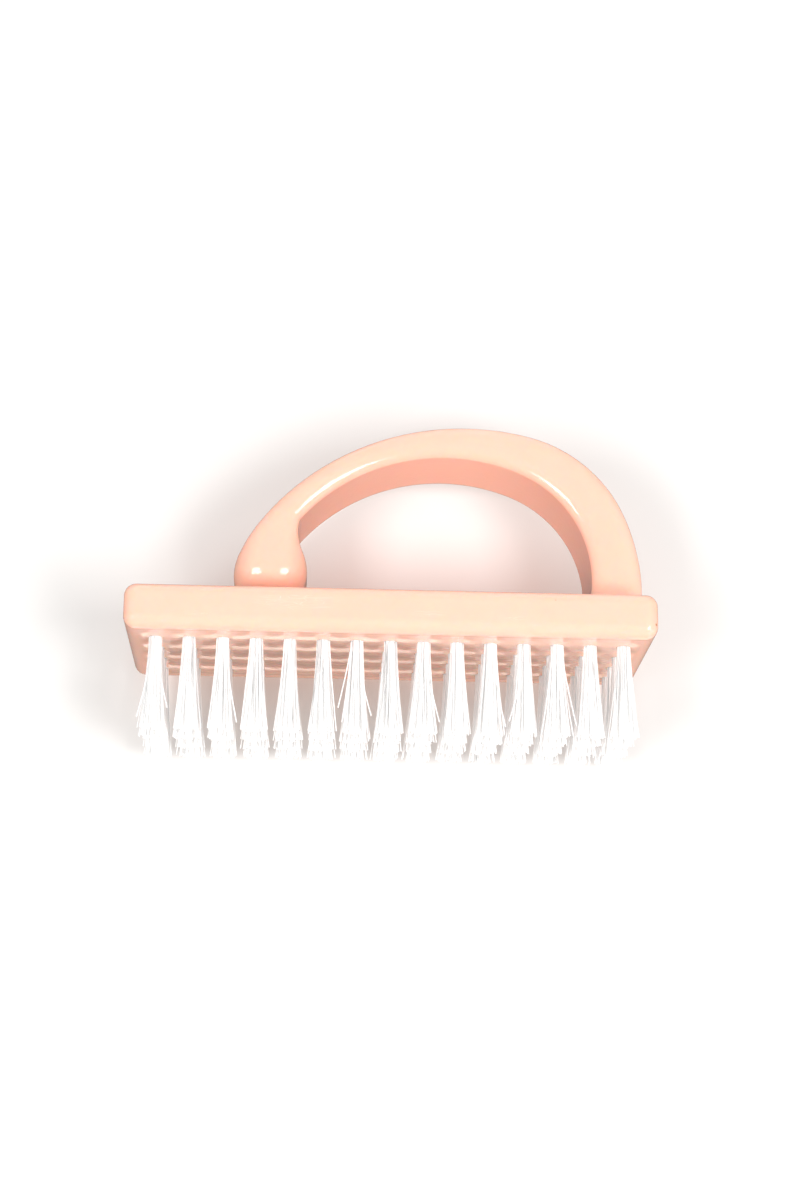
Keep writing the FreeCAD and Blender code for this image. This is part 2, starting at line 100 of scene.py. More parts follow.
def crossing(first: Pair, first_radius: float, second: Pair, second_radius: float) -> Pair:
    """Find where two circles cross.

    Args:
        first: Centre of the first circle.
        first_radius: Its radius.
        second: Centre of the second circle.
        second_radius: Its radius.

    Returns:
        The crossing point on the right, as seen from the first centre.
    """
    gap = math.dist(first, second)
    reach = (first_radius**2 - second_radius**2 + gap**2) / (2.0 * gap)
    offset = math.sqrt(first_radius**2 - reach**2)
    x, z = along(first, second, reach)
    step_x = (second[0] - first[0]) / gap * offset
    step_z = (second[1] - first[1]) / gap * offset
    return (x + step_z, z - step_x)


def rgba(colour: Colour) -> tuple[float, float, float, float]:
    """Add full opacity to a colour."""
    return (*colour, 1.0)


# Meshes and objects


def add_mesh(name: str, points: Any, faces: list) -> bpy.types.Mesh:
    """Make a mesh from points in millimetres."""
    mesh = bpy.data.meshes.new(name)
    mesh.from_pydata((np.array(points) * MM).tolist(), [], faces)
    mesh.update()
    return mesh


def add_object(name: str, data: bpy.types.ID) -> bpy.types.Object:
    """Put a mesh, a lamp or a camera into the scene as an object at the origin."""
    piece = bpy.data.objects.new(name, data)
    bpy.context.scene.collection.objects.link(piece)
    return piece


def set_finish(mesh: bpy.types.Mesh, finish: Material) -> None:
    """Give a mesh one material."""
    mesh.materials.clear()
    mesh.materials.append(finish)


def bake_modifiers(piece: bpy.types.Object) -> None:
    """Turn a piece with its modifiers into a plain mesh."""
    graph = bpy.context.evaluated_depsgraph_get()
    made = bpy.data.meshes.new_from_object(piece.evaluated_get(graph), depsgraph=graph)
    piece.modifiers.clear()
    piece.data = made


def smooth_faces(mesh: bpy.types.Mesh, crease: float) -> None:
    """Shade a mesh smoothly, but for edges sharper than a crease angle in degrees."""
    mesh.polygons.foreach_set("use_smooth", [True] * len(mesh.polygons))
    mesh.set_sharp_from_angle(angle=math.radians(crease))
    mesh.update()


def read_all(items: Any, name: str, kind: type = float, width: int = 1) -> np.ndarray:
    """Read one property of every point, corner or face of a mesh."""
    values = np.empty(len(items) * width, dtype=kind)
    items.foreach_get(name, values)
    return values.reshape(-1, width) if width > 1 else values


def report(piece: bpy.types.Object) -> None:
    """Log a finished piece with its size."""
    mesh = piece.data
    log.info("%s: %d points, %d faces", piece.name, len(mesh.vertices), len(mesh.polygons))


@dataclass
class Tubes:
    """Closed upright tubes, gathered for one mesh."""

    sides: int
    points: list[Point] = field(default_factory=list)
    faces: list[list[int]] = field(default_factory=list)

    def add(self, line: Sequence[Point], radius: float) -> None:
        """Add a tube.

        Args:
            line: Its middle line, from the bottom up.
            radius: Its radius.
        """
        base = len(self.points)
        ring = range(self.sides)
        for x, y, z in line:
            for side in ring:
                turn = FULL_TURN * side / self.sides
                self.points.append((x + radius * math.cos(turn), y + radius * math.sin(turn), z))
        last = len(self.points) - self.sides
        self.faces.append([base + side for side in reversed(ring)])
        self.faces.append([last + side for side in ring])
        for low in range(base, last, self.sides):
            high = low + self.sides
            for side in ring:
                after = (side + 1) % self.sides
                self.faces.append([low + side, low + after, high + after, high + side])

    def mesh(self, name: str) -> bpy.types.Mesh:
        """Make the mesh that holds all the tubes."""
        return add_mesh(name, self.points, self.faces)


# Node trees


class Board:
    """A node tree with short calls to add nodes and wire them.

    Each value given to a call is a plain one, or the output that feeds it.
    """

    def __init__(self, tree: NodeTree) -> None:
        """Keep the tree that the nodes go into."""
        self.tree = tree

    def add(self, kind: str, feeds: dict[Any, Any] | None = None, **settings: Any) -> Node:
        """Add a node.

        Args:
            kind: The node's type name.
            feeds: Values for its inputs, by name or number.
            **settings: The node's own options.

        Returns:
            The new node.
        """
        node = self.tree.nodes.new(kind)
        for name, value in settings.items():
            setattr(node, name, value)
        self.feed(node, feeds or {})
        return node

    def feed(self, node: Node, feeds: dict[Any, Any]) -> None:
        """Give a node's inputs their values."""
        for key, value in feeds.items():
            if isinstance(value, Output):
                self.tree.links.new(value, node.inputs[key])
            else:
                node.inputs[key].default_value = value

    def math(self, operation: str, first: Any, *others: Any) -> Output:
        """Work with numbers, from left to right.

        Args:
            operation: The operation's name.
            first: The first number.
            *others: The numbers that follow. An operation on a single number has none.

        Returns:
            The result's output.
        """
        if not others:
            return self.add("ShaderNodeMath", {0: first}, operation=operation).outputs[0]
        for other in others:
            node = self.add("ShaderNodeMath", {0: first, 1: other}, operation=operation)
            first = node.outputs[0]
        return first

    def plus(self, *numbers: Any) -> Output:
        """Add numbers up."""
        return self.math("ADD", *numbers)

    def minus(self, number: Any, less: Any) -> Output:
        """Take one number from another."""
        return self.math("SUBTRACT", number, less)

    def times(self, *numbers: Any) -> Output:
        """Multiply numbers."""
        return self.math("MULTIPLY", *numbers)

    def over(self, number: Any, divisor: Any) -> Output:
        """Divide one number by another."""
        return self.math("DIVIDE", number, divisor)

    def largest(self, *numbers: Any) -> Output:
        """Keep the largest of some numbers."""
        return self.math("MAXIMUM", *numbers)

    def size(self, number: Any) -> Output:
        """Drop a number's sign."""
        return self.math("ABSOLUTE", number)

    def vector(self, operation: str, first: Any, second: Any) -> Output:
        """Work with two vectors, or scale one by a number."""
        key = "Scale" if operation == "SCALE" else 1
        feeds = {0: first, key: second}
        return self.add("ShaderNodeVectorMath", feeds, operation=operation).outputs[0]

    def length(self, vector: Any) -> Output:
        """Measure a vector."""
        return self.add("ShaderNodeVectorMath", {0: vector}, operation="LENGTH").outputs["Value"]

    def combine(self, x: Any, y: Any, z: Any = 0.0) -> Output:
        """Make a vector from three numbers."""
        return self.add("ShaderNodeCombineXYZ", {"X": x, "Y": y, "Z": z}).outputs[0]

    def split(self, vector: Any) -> Any:
        """Part a vector into its numbers."""
        return self.add("ShaderNodeSeparateXYZ", {"Vector": vector}).outputs

    def remap(self, value: Any, source: tuple[Any, Any], target: Pair = (0.0, 1.0)) -> Output:
        """Spread a range of numbers over another, clamped at its ends.

        Args:
            value: The number to spread.
            source: The first range.
            target: What its ends become.

        Returns:
            The spread number's output.
        """
        feeds = {"Value": value, "From Min": source[0], "From Max": source[1]}
        feeds |= {"To Min": target[0], "To Max": target[1]}
        return self.add("ShaderNodeMapRange", feeds).outputs[0]

    def blend(self, share: Any, first: Any, second: Any) -> Output:
        """Mix two colours by a share."""
        feeds = {0: share, 6: first, 7: second}
        return self.add("ShaderNodeMix", feeds, data_type="RGBA").outputs[2]

    def noise(self, place: Any, scale: Any, **more: float) -> Output:
        """Lay soft noise over a place."""
        feeds = {"Vector": place, "Scale": scale, **more}
        return self.add("ShaderNodeTexNoise", feeds).outputs[0]


class Socket(Enum):
    """Socket types for the groups' named inputs and outputs."""

    NUMBER = "NodeSocketFloat"
    WHOLE = "NodeSocketInt"
    VECTOR = "NodeSocketVector"
    SHAPE = "NodeSocketGeometry"
    FINISH = "NodeSocketMaterial"

    @classmethod
    def suited(cls, value: Any) -> "Socket":
        """Choose the type for a number or a material."""
        if isinstance(value, Material):
            return cls.FINISH
        return cls.WHOLE if isinstance(value, int) else cls.NUMBER


class Group(Board):
    """A node group with named inputs and outputs."""

    def __init__(
        self, name: str, kind: str, inputs: dict[str, Socket], outputs: dict[str, Socket]
    ) -> None:
        """Start the group, and keep the identifier of each input by name.

        Args:
            name: The group's name.
            kind: The type of its tree.
            inputs: Input names with their types.
            outputs: Output names with their types.
        """
        super().__init__(bpy.data.node_groups.new(name, kind))
        new_socket = self.tree.interface.new_socket
        self.keys: dict[str, str] = {}
        for title, socket in inputs.items():
            item = new_socket(name=title, in_out="INPUT", socket_type=socket.value)
            self.keys[title] = item.identifier
        for title, socket in outputs.items():
            new_socket(name=title, in_out="OUTPUT", socket_type=socket.value)
        self.given = self.add("NodeGroupInput").outputs

    def close(self, results: dict[Any, Output]) -> NodeTree:
        """Wire the group's outputs."""
        self.add("NodeGroupOutput", results)
        return self.tree


@dataclass(frozen=True)
class Scratches:
    """Hairline scratches in crossing layers, each layer (turn in radians, stretch)."""

    layers: tuple[Pair, ...] = ((0.35, 9.0), (-0.6, 14.0), (1.25, 11.0))
    hair: float = 0.03
    levels: Pair = (0.75, 0.8)

    def build(self) -> NodeTree:
        """Build the group.

        Returns:
            The group, with a scratch mask and a height that dips along each scratch.
        """
        inputs = {"Position": Socket.VECTOR, "Scale": Socket.NUMBER, "Cover": Socket.NUMBER}
        outputs = {"Mask": Socket.NUMBER, "Height": Socket.NUMBER}
        group = Group("fine_scratches", "ShaderNodeTree", inputs, outputs)
        scale = group.given["Scale"]
        start = group.minus(self.levels[0], group.given["Cover"])
        masks = []
        for turn, stretch in self.layers:
            feeds = {"Vector": group.given["Position"], "Rotation": (turn, turn * 0.5, turn)}
            feeds["Scale"] = (1.0, stretch, stretch)
            turned = group.add("ShaderNodeMapping", feeds).outputs[0]
            feeds = {"Vector": turned, "Scale": scale, "Randomness": 1.0}
            cells = group.add("ShaderNodeTexVoronoi", feeds, feature="DISTANCE_TO_EDGE").outputs
            line = group.remap(cells["Distance"], (0.0, self.hair), (1.0, 0.0))
            warp = group.noise(turned, scale, Detail=2.0)
            masks.append(group.times(line, group.remap(warp, (start, self.levels[1]))))
        mask = group.largest(*masks)
        return group.close({"Mask": mask, "Height": group.times(mask, -1.0)})


@dataclass(frozen=True)
class Mottle:
    """The slow, cloudy changes of tone in plastic and nylon, and their finer grain."""

    softness: float = 0.45
    grain_fineness: float = 24.0

    def build(self) -> NodeTree:
        """Build the group, with one number around a half for the clouds and one for grain."""
        inputs = {"Position": Socket.VECTOR, "Scale": Socket.NUMBER}
        outputs = {"Cloud": Socket.NUMBER, "Grain": Socket.NUMBER}
        group = Group("soft_mottle", "ShaderNodeTree", inputs, outputs)
        place, scale = group.given["Position"], group.given["Scale"]
        cloud = group.noise(place, scale, Detail=3.0, Roughness=self.softness)
        grain = group.noise(place, group.times(scale, self.grain_fineness), Detail=2.0)
        return group.close({"Cloud": cloud, "Grain": grain})


@dataclass(frozen=True)
class Effects:
    """The shared shader groups."""

    scratches: NodeTree
    mottle: NodeTree

    @classmethod
    def build(cls) -> "Effects":
        """Build every shared group once."""
        return cls(Scratches().build(), Mottle().build())


# Finishes


class Finish(Board):
    """A material with one Principled shader, and its place on the object."""

    def __init__(self, name: str) -> None:
        """Start the material."""
        self.material = bpy.data.materials.new(name)
        self.material.use_nodes = True
        super().__init__(self.material.node_tree)
        self.place = self.add("ShaderNodeTexCoord").outputs["Object"]

    def group(self, tree: NodeTree, **values: float) -> Any:
        """Lay a shared group over the surface with values of its own."""
        feeds = {"Position": self.place, **values}
        return self.add("ShaderNodeGroup", feeds, node_tree=tree).outputs

    def uneven(self, noise: Output, middle: float, play: Pair) -> Output:
        """Let a number wander with noise, at most by a play under and over its middle."""
        return self.remap(noise, NOISE_RANGE, (middle - play[0], middle + play[1]))

    def bump(self, height: Output, strength: float, depth: float) -> Output:
        """Turn a height into the surface's small bumps."""
        feeds = {"Height": height, "Strength": strength, "Distance": depth * MM}
        return self.add("ShaderNodeBump", feeds).outputs[0]

    def close(self, feeds: dict[str, Any]) -> Material:
        """Give the shader's inputs their values."""
        self.feed(self.tree.nodes["Principled BSDF"], feeds)
        return self.material


@dataclass(frozen=True)
class Spot:
    """A soft-edged patch at one place of a surface."""

    place: Point
    reach: float
    strength: float = 1.0
    core: float = 0.5
    squash: Point = (1.0, 1.0, 1.0)

    def mask(self, finish: Finish) -> Output:
        """Draw the patch, full inside its core and gone at its reach."""
        away = finish.vector("SUBTRACT", finish.place, tuple(c * MM for c in self.place))
        away = finish.vector("MULTIPLY", away, self.squash)
        edge = (self.reach * self.core * MM, self.reach * MM)
        return finish.remap(finish.length(away), edge, (self.strength, 0.0))


@dataclass(frozen=True)
class PeachPlastic:
    """Glossy moulded plastic, a little translucent, with scratches, specks and a fine darker edge
    line.
    """

    colour: Colour = (0.95, 0.535, 0.415)
    cloud_colour: Colour = (0.965, 0.56, 0.44)
    speck_colour: Colour = (0.5, 0.22, 0.1)
    rub_colour: Colour = (1.0, 0.86, 0.76)
    cloud_scale: float = 45.0
    roughness: float = 0.1
    roughness_play: Pair = (0.02, 0.04)
    glow: float = 0.6
    glow_reach: Point = (1.0, 0.45, 0.25)
    glow_depth: float = 3.5
    refraction: float = 1.49
    specks: tuple[Spot, ...] = (
        Spot((44.5, -17.2, 18.2), 0.3, 0.9),
        Spot((4.9, -6.4, 15.7), 0.25, 0.8),
        Spot((-24.6, -8.3, 39.0), 0.3, 0.35),
        Spot((-13.5, -18.0, 22.6), 0.22, 0.5),
        Spot((27.5, -18.0, 21.9), 0.18, 0.4),
    )
    dust_scale: float = 130.0
    dust_edge: Pair = (0.035, 0.06)
    dust_rarity: float = 0.985
    dust_strength: float = 0.4
    rubs: tuple[tuple[Point, float], ...] = (
        ((-16.0, -18.0, 20.6), 8.5),
        ((6.0, -18.0, 19.0), 3.5),
        ((21.0, -18.0, 18.6), 2.5),
        ((-33.0, -18.0, 18.2), 2.5),
        ((-2.6, -6.6, 15.7), 0.35),
    )
    rub_core: float = 0.4
    rub_squash: Point = (1.0, 4.0, 5.0)
    rub_scale: float = 210.0
    rub_cover: float = 0.4
    rub_strength: float = 0.75
    scratch_scale: float = 70.0
    scratch_cover: float = 0.12
    wear: float = 0.15
    line_place: float = 15.25
    line_width: float = 0.16
    line_core: float = 0.3
    line_top: float = 16.4
    line_end: float = 43.4
    line_strength: float = 0.45
    peel: float = 0.35
    scratch_height: float = 0.5
    wave: float = 1.5
    bump_strength: float = 0.18
    bump_depth: float = 0.2

    def dust(self, finish: Finish) -> Output:
        """Scatter a few fine specks."""
        feeds = {"Vector": finish.place, "Scale": self.dust_scale}
        cells = finish.add("ShaderNodeTexVoronoi", feeds, feature="F1").outputs
        near = finish.remap(cells["Distance"], self.dust_edge, (1.0, 0.0))
        chosen = finish.add("ShaderNodeSeparateColor", {"Color": cells["Color"]}).outputs[0]
        rare = finish.math("GREATER_THAN", chosen, self.dust_rarity)
        return finish.times(near, rare, self.dust_strength)

    def dark_edge_line(self, finish: Finish) -> Output:
        """Draw the fine darker line, also cut as a shallow groove, where the underside's relief
        begins.
        """
        parts = finish.split(finish.place)
        away = finish.size(finish.minus(finish.size(parts["Y"]), self.line_place * MM))
        edge = (self.line_core * self.line_width * MM, self.line_width * MM)
        low = finish.math("LESS_THAN", parts["Z"], self.line_top * MM)
        inner = finish.math("LESS_THAN", finish.size(parts["X"]), self.line_end * MM)
        return finish.times(finish.remap(away, edge, (1.0, 0.0)), low, inner)

    def make(self, effects: Effects) -> Material:
        """Build the material.

        Args:
            effects: The shared groups.

        Returns:
            The finished material.
        """
        finish = Finish("peach_plastic")
        mottle = finish.group(effects.mottle, Scale=self.cloud_scale)
        marks = finish.group(
            effects.scratches, Scale=self.scratch_scale, Cover=self.scratch_cover
        )
        fine = finish.group(effects.scratches, Scale=self.rub_scale, Cover=self.rub_cover)
        # A fine darker line along the underside's edge: it darkens the colour and dips the bump.
        line = self.dark_edge_line(finish)
        specks = [spot.mask(finish) for spot in self.specks]
        rubs = [
            Spot(place, reach, core=self.rub_core, squash=self.rub_squash).mask(finish)
            for place, reach in self.rubs
        ]
        dark = finish.largest(
            self.dust(finish), *specks, finish.times(line, self.line_strength)
        )
        pale = finish.times(fine["Mask"], finish.largest(*rubs), self.rub_strength)

        tone = finish.blend(mottle["Cloud"], rgba(self.colour), rgba(self.cloud_colour))
        tone = finish.blend(pale, tone, rgba(self.rub_colour))
        cloudy = finish.uneven(mottle["Cloud"], self.roughness, self.roughness_play)
        worn = finish.times(finish.largest(marks["Mask"], pale), self.wear)
        height = finish.plus(
            finish.minus(finish.times(mottle["Grain"], self.peel), line),
            finish.times(marks["Height"], self.scratch_height),
            finish.times(mottle["Cloud"], self.wave),
        )
        return finish.close(
            {
                "Base Color": finish.blend(dark, tone, rgba(self.speck_colour)),
                "Roughness": finish.plus(cloudy, worn),
                "Normal": finish.bump(height, self.bump_strength, self.bump_depth),
                "Subsurface Weight": self.glow,
                "Subsurface Radius": self.glow_reach,
                "Subsurface Scale": self.glow_depth * MM,
                "IOR": self.refraction,
            }
        )


@dataclass(frozen=True)
class NylonFilament:
    """Cloudy white nylon: bright along each filament, a little glassy at the edges, with a painted
    glow.
    """

    colour: Colour = (0.97, 0.97, 0.965)
    warm_colour: Colour = (0.95, 0.935, 0.915)
    cloud_scale: float = 160.0
    cloud_share: float = 0.3
    shade_share: float = 0.7
    roughness: float = 0.3
    roughness_play: Pair = (0.06, 0.1)
    painted_glow: float = 0.08
    glow_depth: float = 0.3
    refraction: float = 1.53
    bump_strength: float = 0.12
    bump_depth: float = 0.05

    def make(self, effects: Effects) -> Material:
        """Build the material.

        Args:
            effects: The shared groups.

        Returns:
            The finished material.
        """
        finish = Finish("nylon_bristle")
        mottle = finish.group(effects.mottle, Scale=self.cloud_scale)
        shade = finish.add("ShaderNodeAttribute", attribute_name="filament_shade").outputs["Fac"]
        both = finish.plus(
            finish.times(shade, self.shade_share), finish.times(mottle["Cloud"], self.cloud_share)
        )
        return finish.close(
            {
                "Base Color": finish.blend(both, rgba(self.warm_colour), rgba(self.colour)),
                "Roughness": finish.uneven(mottle["Grain"], self.roughness, self.roughness_play),
                "Normal": finish.bump(mottle["Grain"], self.bump_strength, self.bump_depth),
                "Subsurface Weight": 1.0,
                "Subsurface Radius": (1.0, 1.0, 1.0),
                "Subsurface Scale": self.glow_depth * MM,
                # Painted glow: a faint white emission that stands in for light scattered between
                # the filaments.
                "Emission Color": WHITE,
                "Emission Strength": self.painted_glow,
                "IOR": self.refraction,
            }
        )


@dataclass(frozen=True)
class StapleWire:
    """Flat drawn brass wire with fine lengthwise draw marks."""

    colour: Colour = (0.8, 0.62, 0.3)
    dull_colour: Colour = (0.55, 0.4, 0.2)
    roughness: float = 0.32
    wear: float = 0.15
    scratch_scale: float = 400.0
    scratch_cover: float = 0.35
    bump_strength: float = 0.2
    bump_depth: float = 0.05

    def make(self, effects: Effects) -> Material:
        """Build the material.

        Args:
            effects: The shared groups.

        Returns:
            The finished material.
        """
        finish = Finish("anchor_wire")
        marks = finish.group(
            effects.scratches, Scale=self.scratch_scale, Cover=self.scratch_cover
        )
        tone = finish.blend(marks["Mask"], rgba(self.colour), rgba(self.dull_colour))
        return finish.close(
            {
                "Base Color": tone,
                "Roughness": finish.plus(finish.times(marks["Mask"], self.wear), self.roughness),
                "Normal": finish.bump(marks["Height"], self.bump_strength, self.bump_depth),
                "Metallic": 1.0,
            }
        )


@dataclass(frozen=True)
class PaleSheet:
    """The pale floor or backdrop: it shows from one side only and holds the brush's shadow."""

    name: str
    colour: Colour = (0.735, 0.725, 0.71)
    lift: float = 0.05

    def make(self) -> Material:
        """Build the material."""
        material = bpy.data.materials.new(self.name)
        material.use_nodes = True
        material.node_tree.nodes.clear()
        board = Board(material.node_tree)
        matt = board.add("ShaderNodeBsdfDiffuse", {"Color": rgba(self.colour)}).outputs[0]
        light = board.add("ShaderNodeEmission", {"Color": WHITE, "Strength": self.lift}).outputs[0]
        both = board.add("ShaderNodeAddShader", {0: matt, 1: light}).outputs[0]
        clear = board.add("ShaderNodeBsdfTransparent").outputs[0]
        camera_ray = board.add("ShaderNodeLightPath").outputs["Is Camera Ray"]
        behind = board.add("ShaderNodeNewGeometry").outputs["Backfacing"]
        seen = board.times(camera_ray, board.minus(1.0, behind))
        shown = board.add("ShaderNodeMixShader", {0: seen, 1: clear, 2: both}).outputs[0]
        board.add("ShaderNodeOutputMaterial", {"Surface": shown})
        return material


# The moulding's form


@dataclass(frozen=True)
class Run:
    """A straight stretch of the handle's side view, its outside on the right of its direction."""

    start: Pair
    end: Pair

    def measure(self, x: np.ndarray, z: np.ndarray) -> np.ndarray:
        """Measure how far points lie outside this stretch.

        Args:
            x: The points' places along the block.
            z: Their heights.

        Returns:
            Distances, negative on the inside.
        """
        length = math.dist(self.start, self.end)
        ux, uz = (self.end[0] - self.start[0]) / length, (self.end[1] - self.start[1]) / length
        dx, dz = x - self.start[0], z - self.start[1]
        forward = np.clip(dx * ux + dz * uz, 0.0, length)
        away = np.hypot(dx - forward * ux, dz - forward * uz)
        return np.where(dx * uz - dz * ux < 0.0, -away, away)


@dataclass(frozen=True)
class Bend:
    """An arc of the handle's side view, hollow where the material lies outside its circle."""

    centre: Pair
    start: Pair
    end: Pair
    hollow: bool = False

    def measure(self, x: np.ndarray, z: np.ndarray) -> np.ndarray:
        """Measure how far points lie outside this arc, as Run.measure does for its stretch."""
        radius = math.dist(self.centre, self.start)
        first = (Vector(self.start) - Vector(self.centre)).normalized()
        last = (Vector(self.end) - Vector(self.centre)).normalized()
        middle = (first + last).normalized()
        dx, dz = x - self.centre[0], z - self.centre[1]
        size = np.hypot(dx, dz)
        within = dx * middle.x + dz * middle.y >= size * middle.dot(first)
        to_start, to_end = (np.hypot(x - end[0], z - end[1]) for end in (self.start, self.end))
        away = np.where(within, np.abs(size - radius), np.minimum(to_start, to_end))
        inside = size > radius if self.hollow else size < radius
        return np.where(inside, -away, away)


@dataclass
class HookOutline:
    """The handle's side view: a chain of arcs from the leg over the crown to the drop.

    A fade is a pair of places between which a form comes in; along the height they are counted
    from the drop's bottom, or for the pebble from where it starts.
    """

    base_z: float
    foot_z: float
    leg_x: float = 43.62
    rise: float = 32.4
    crown_radius: float = 45.0
    shoulder_span: float = 10.8
    shoulder_radius: float = 24.5
    shoulder_drop: float = 15.1
    leg_radius: float = 36.0
    leg_thickness: float = 8.75
    crown_thickness: float = 5.6
    inner_crown_radius: float = 33.0
    inner_shoulder_radius: float = 21.0
    inner_shoulder_span: float = 13.5
    throat_height: float = 14.32
    throat_radius: float = 1.0
    neck_radius: float = 7.2
    drop_back_height: float = 9.1
    drop_back_radius: float = 7.3
    drop_back_corner: float = 3.8
    drop_front_radius: float = 6.8
    drop_front_corner: float = 3.5
    drop_front_height: float = 6.3
    drop_width: float = 12.7
    drop_gap: float = 1.0
    drop_middle: float = -20.9
    drop_rim: float = 3.2
    drop_fade_x: Pair = (-8.0, -12.0)
    drop_fade_z: Pair = (13.0, 6.0)
    inner_rim: float = 1.45
    outer_rim: float = 1.8
    inner_reach: float = 2.5
    outer_reach: float = 2.8
    pebble_start: float = 5.8
    pebble_radius: float = 5.6
    pebble_share: float = 0.985
    pebble_side_radius: float = 10.0
    pebble_side_limit: float = 2.0
    pebble_fade_z: Pair = (6.0, -1.0)
    inner: list[Run | Bend] = field(default_factory=list)
    outer: list[Run | Bend] = field(default_factory=list)

    def __post_init__(self) -> None:
        """Work out the chain."""
        top = self.base_z + self.rise
        crown = (0.0, top - self.crown_radius)
        start_z = crown[1] + math.sqrt(self.crown_radius**2 - self.shoulder_span**2)
        start = (self.shoulder_span, start_z)
        shoulder = along(start, crown, self.shoulder_radius)
        end_z = top - self.shoulder_drop
        end_x = shoulder[0] + math.sqrt(self.shoulder_radius**2 - (end_z - shoulder[1]) ** 2)
        end = (end_x, end_z)
        leg = along(end, shoulder, self.leg_radius)
        shift = self.leg_x - leg[0] - self.leg_radius
        placed = [(x + shift, z) for x, z in (crown, start, shoulder, end, leg)]
        crown, start, shoulder, end, leg = placed
        leg_top = (self.leg_x, leg[1])

        inner_x = self.leg_x - self.leg_thickness
        joint_x = inner_x - self.inner_shoulder_span
        slope = (joint_x - inner_x + self.inner_shoulder_radius) / self.inner_shoulder_radius
        inner_crown = (
            joint_x - slope * self.inner_crown_radius,
            top - self.crown_thickness - self.inner_crown_radius,
        )
        joint = (joint_x, inner_crown[1] + math.sqrt(1.0 - slope**2) * self.inner_crown_radius)
        inner_shoulder = along(joint, inner_crown, self.inner_shoulder_radius)
        inner_leg_top = (inner_x, inner_shoulder[1])

        low = self.base_z + self.drop_gap
        back_z = self.base_z + self.drop_back_height
        back_x = crown[0] - math.sqrt(self.crown_radius**2 - (back_z - crown[1]) ** 2)
        back_joint = (back_x, back_z)
        back = along(back_joint, crown, self.drop_back_radius)
        back_corner, back_end = self.corner(
            back, self.drop_back_radius, self.drop_back_corner, low, -1.0
        )
        front = (
            back[0] - self.drop_back_radius + self.drop_width - self.drop_front_radius,
            self.base_z + self.drop_front_height,
        )
        front_corner, front_end = self.corner(
            front, self.drop_front_radius, self.drop_front_corner, low, 1.0
        )

        throat_z = self.base_z + self.throat_height
        reach = self.inner_crown_radius - self.throat_radius
        throat_x = inner_crown[0] - math.sqrt(reach**2 - (throat_z - inner_crown[1]) ** 2)
        throat = (throat_x, throat_z)
        front_span = self.drop_front_radius + self.neck_radius
        neck = crossing(front, front_span, throat, self.neck_radius - self.throat_radius)
        front_joint = along(front, neck, self.drop_front_radius)
        throat_end = along(neck, throat, self.neck_radius)
        throat_start = along(inner_crown, throat, self.inner_crown_radius)

        self.outer = [
            Run((inner_x, self.foot_z), (self.leg_x, self.foot_z)),
            Run((self.leg_x, self.foot_z), leg_top),
            Bend(leg, leg_top, end),
            Bend(shoulder, end, start),
            Bend(crown, start, back_joint),
            Bend(back, back_joint, back_end),
            Bend(back_corner, back_end, (back_corner[0], low)),
            Run((back_corner[0], low), (front_corner[0], low)),
        ]
        self.inner = [
            Bend(front_corner, (front_corner[0], low), front_end),
            Bend(front, front_end, front_joint),
            Bend(neck, front_joint, throat_end, hollow=True),
            Bend(throat, throat_end, throat_start, hollow=True),
            Bend(inner_crown, throat_start, joint, hollow=True),
            Bend(inner_shoulder, joint, inner_leg_top, hollow=True),
            Run(inner_leg_top, (inner_x, self.foot_z)),
        ]

    @staticmethod
    def corner(
        centre: Pair, radius: float, corner_radius: float, low: float, side: float
    ) -> tuple[Pair, Pair]:
        """Round the drop's side into its flat bottom.

        Args:
            centre: Centre of the side's arc.
            radius: Radius of the side's arc.
            corner_radius: Radius of the smaller arc below it.
            low: Height of the bottom.
            side: 1 for the right of the drop and -1 for its left.

        Returns:
            The smaller arc's centre and the joint between the two arcs.
        """
        z = low + corner_radius
        x = centre[0] + side * math.sqrt((radius - corner_radius) ** 2 - (z - centre[1]) ** 2)
        return (x, z), along(centre, (x, z), radius)

    def measure(self, x: np.ndarray, z: np.ndarray) -> tuple[np.ndarray, np.ndarray, np.ndarray]:
        """Measure points against the whole outline.

        Args:
            x: The points' places along the block.
            z: Their heights.

        Returns:
            Distances, negative on the inside, with the depth of the nearest rim's round and how
            far that round reaches over the flat side.
        """
        best = np.full(x.shape, np.inf)
        rim = np.full(x.shape, self.outer_rim)
        reach = np.full(x.shape, self.outer_reach)
        for pieces, depth, over in (
            (self.outer, self.outer_rim, self.outer_reach),
            (self.inner, self.inner_rim, self.inner_reach),
        ):
            for piece in pieces:
                found = piece.measure(x, z)
                closer = np.abs(found) < np.abs(best)
                best = np.where(closer, found, best)
                rim = np.where(closer, depth, rim)
                reach = np.where(closer, over, reach)
        drop = smooth_step(self.drop_fade_z, z, self.base_z + self.drop_gap)
        drop = drop * smooth_step(self.drop_fade_x, x)
        return best, rim + (self.drop_rim - rim) * drop, reach + (self.drop_rim - reach) * drop

    def sink(self, x: np.ndarray, z: np.ndarray) -> np.ndarray:
        """Work out how far the drop's faces fall away from the handle's flat sides.

        Args:
            x: The points' places along the block.
            z: Their heights.

        Returns:
            The depth under the flat side: the drop is round like a pebble from side to side and
            towards its bottom.
        """
        start = self.base_z + self.drop_gap + self.pebble_start
        below = np.clip(start - z, 0.0, self.pebble_radius * self.pebble_share)
        down = self.pebble_radius - np.sqrt(self.pebble_radius**2 - below**2)
        across = (x - self.drop_middle) ** 2 / (2.0 * self.pebble_side_radius)
        across = np.minimum(across, self.pebble_side_limit)
        across = across * smooth_step(self.pebble_fade_z, z, start)
        return (down + across) * smooth_step(self.drop_fade_x, x)


@dataclass(frozen=True)
class Grid:
    """Planes along one axis. Each stop gives where a stretch ends and the step within it."""

    stops: tuple[Pair, ...]

    def planes(self) -> np.ndarray:
        """Lay out the planes."""
        places = [self.stops[0][0]]
        for (low, _), (high, step) in zip(self.stops, self.stops[1:]):
            count = max(1, round((high - low) / step))
            places.extend(low + (high - low) * (index + 1) / count for index in range(count))
        return np.array(places)


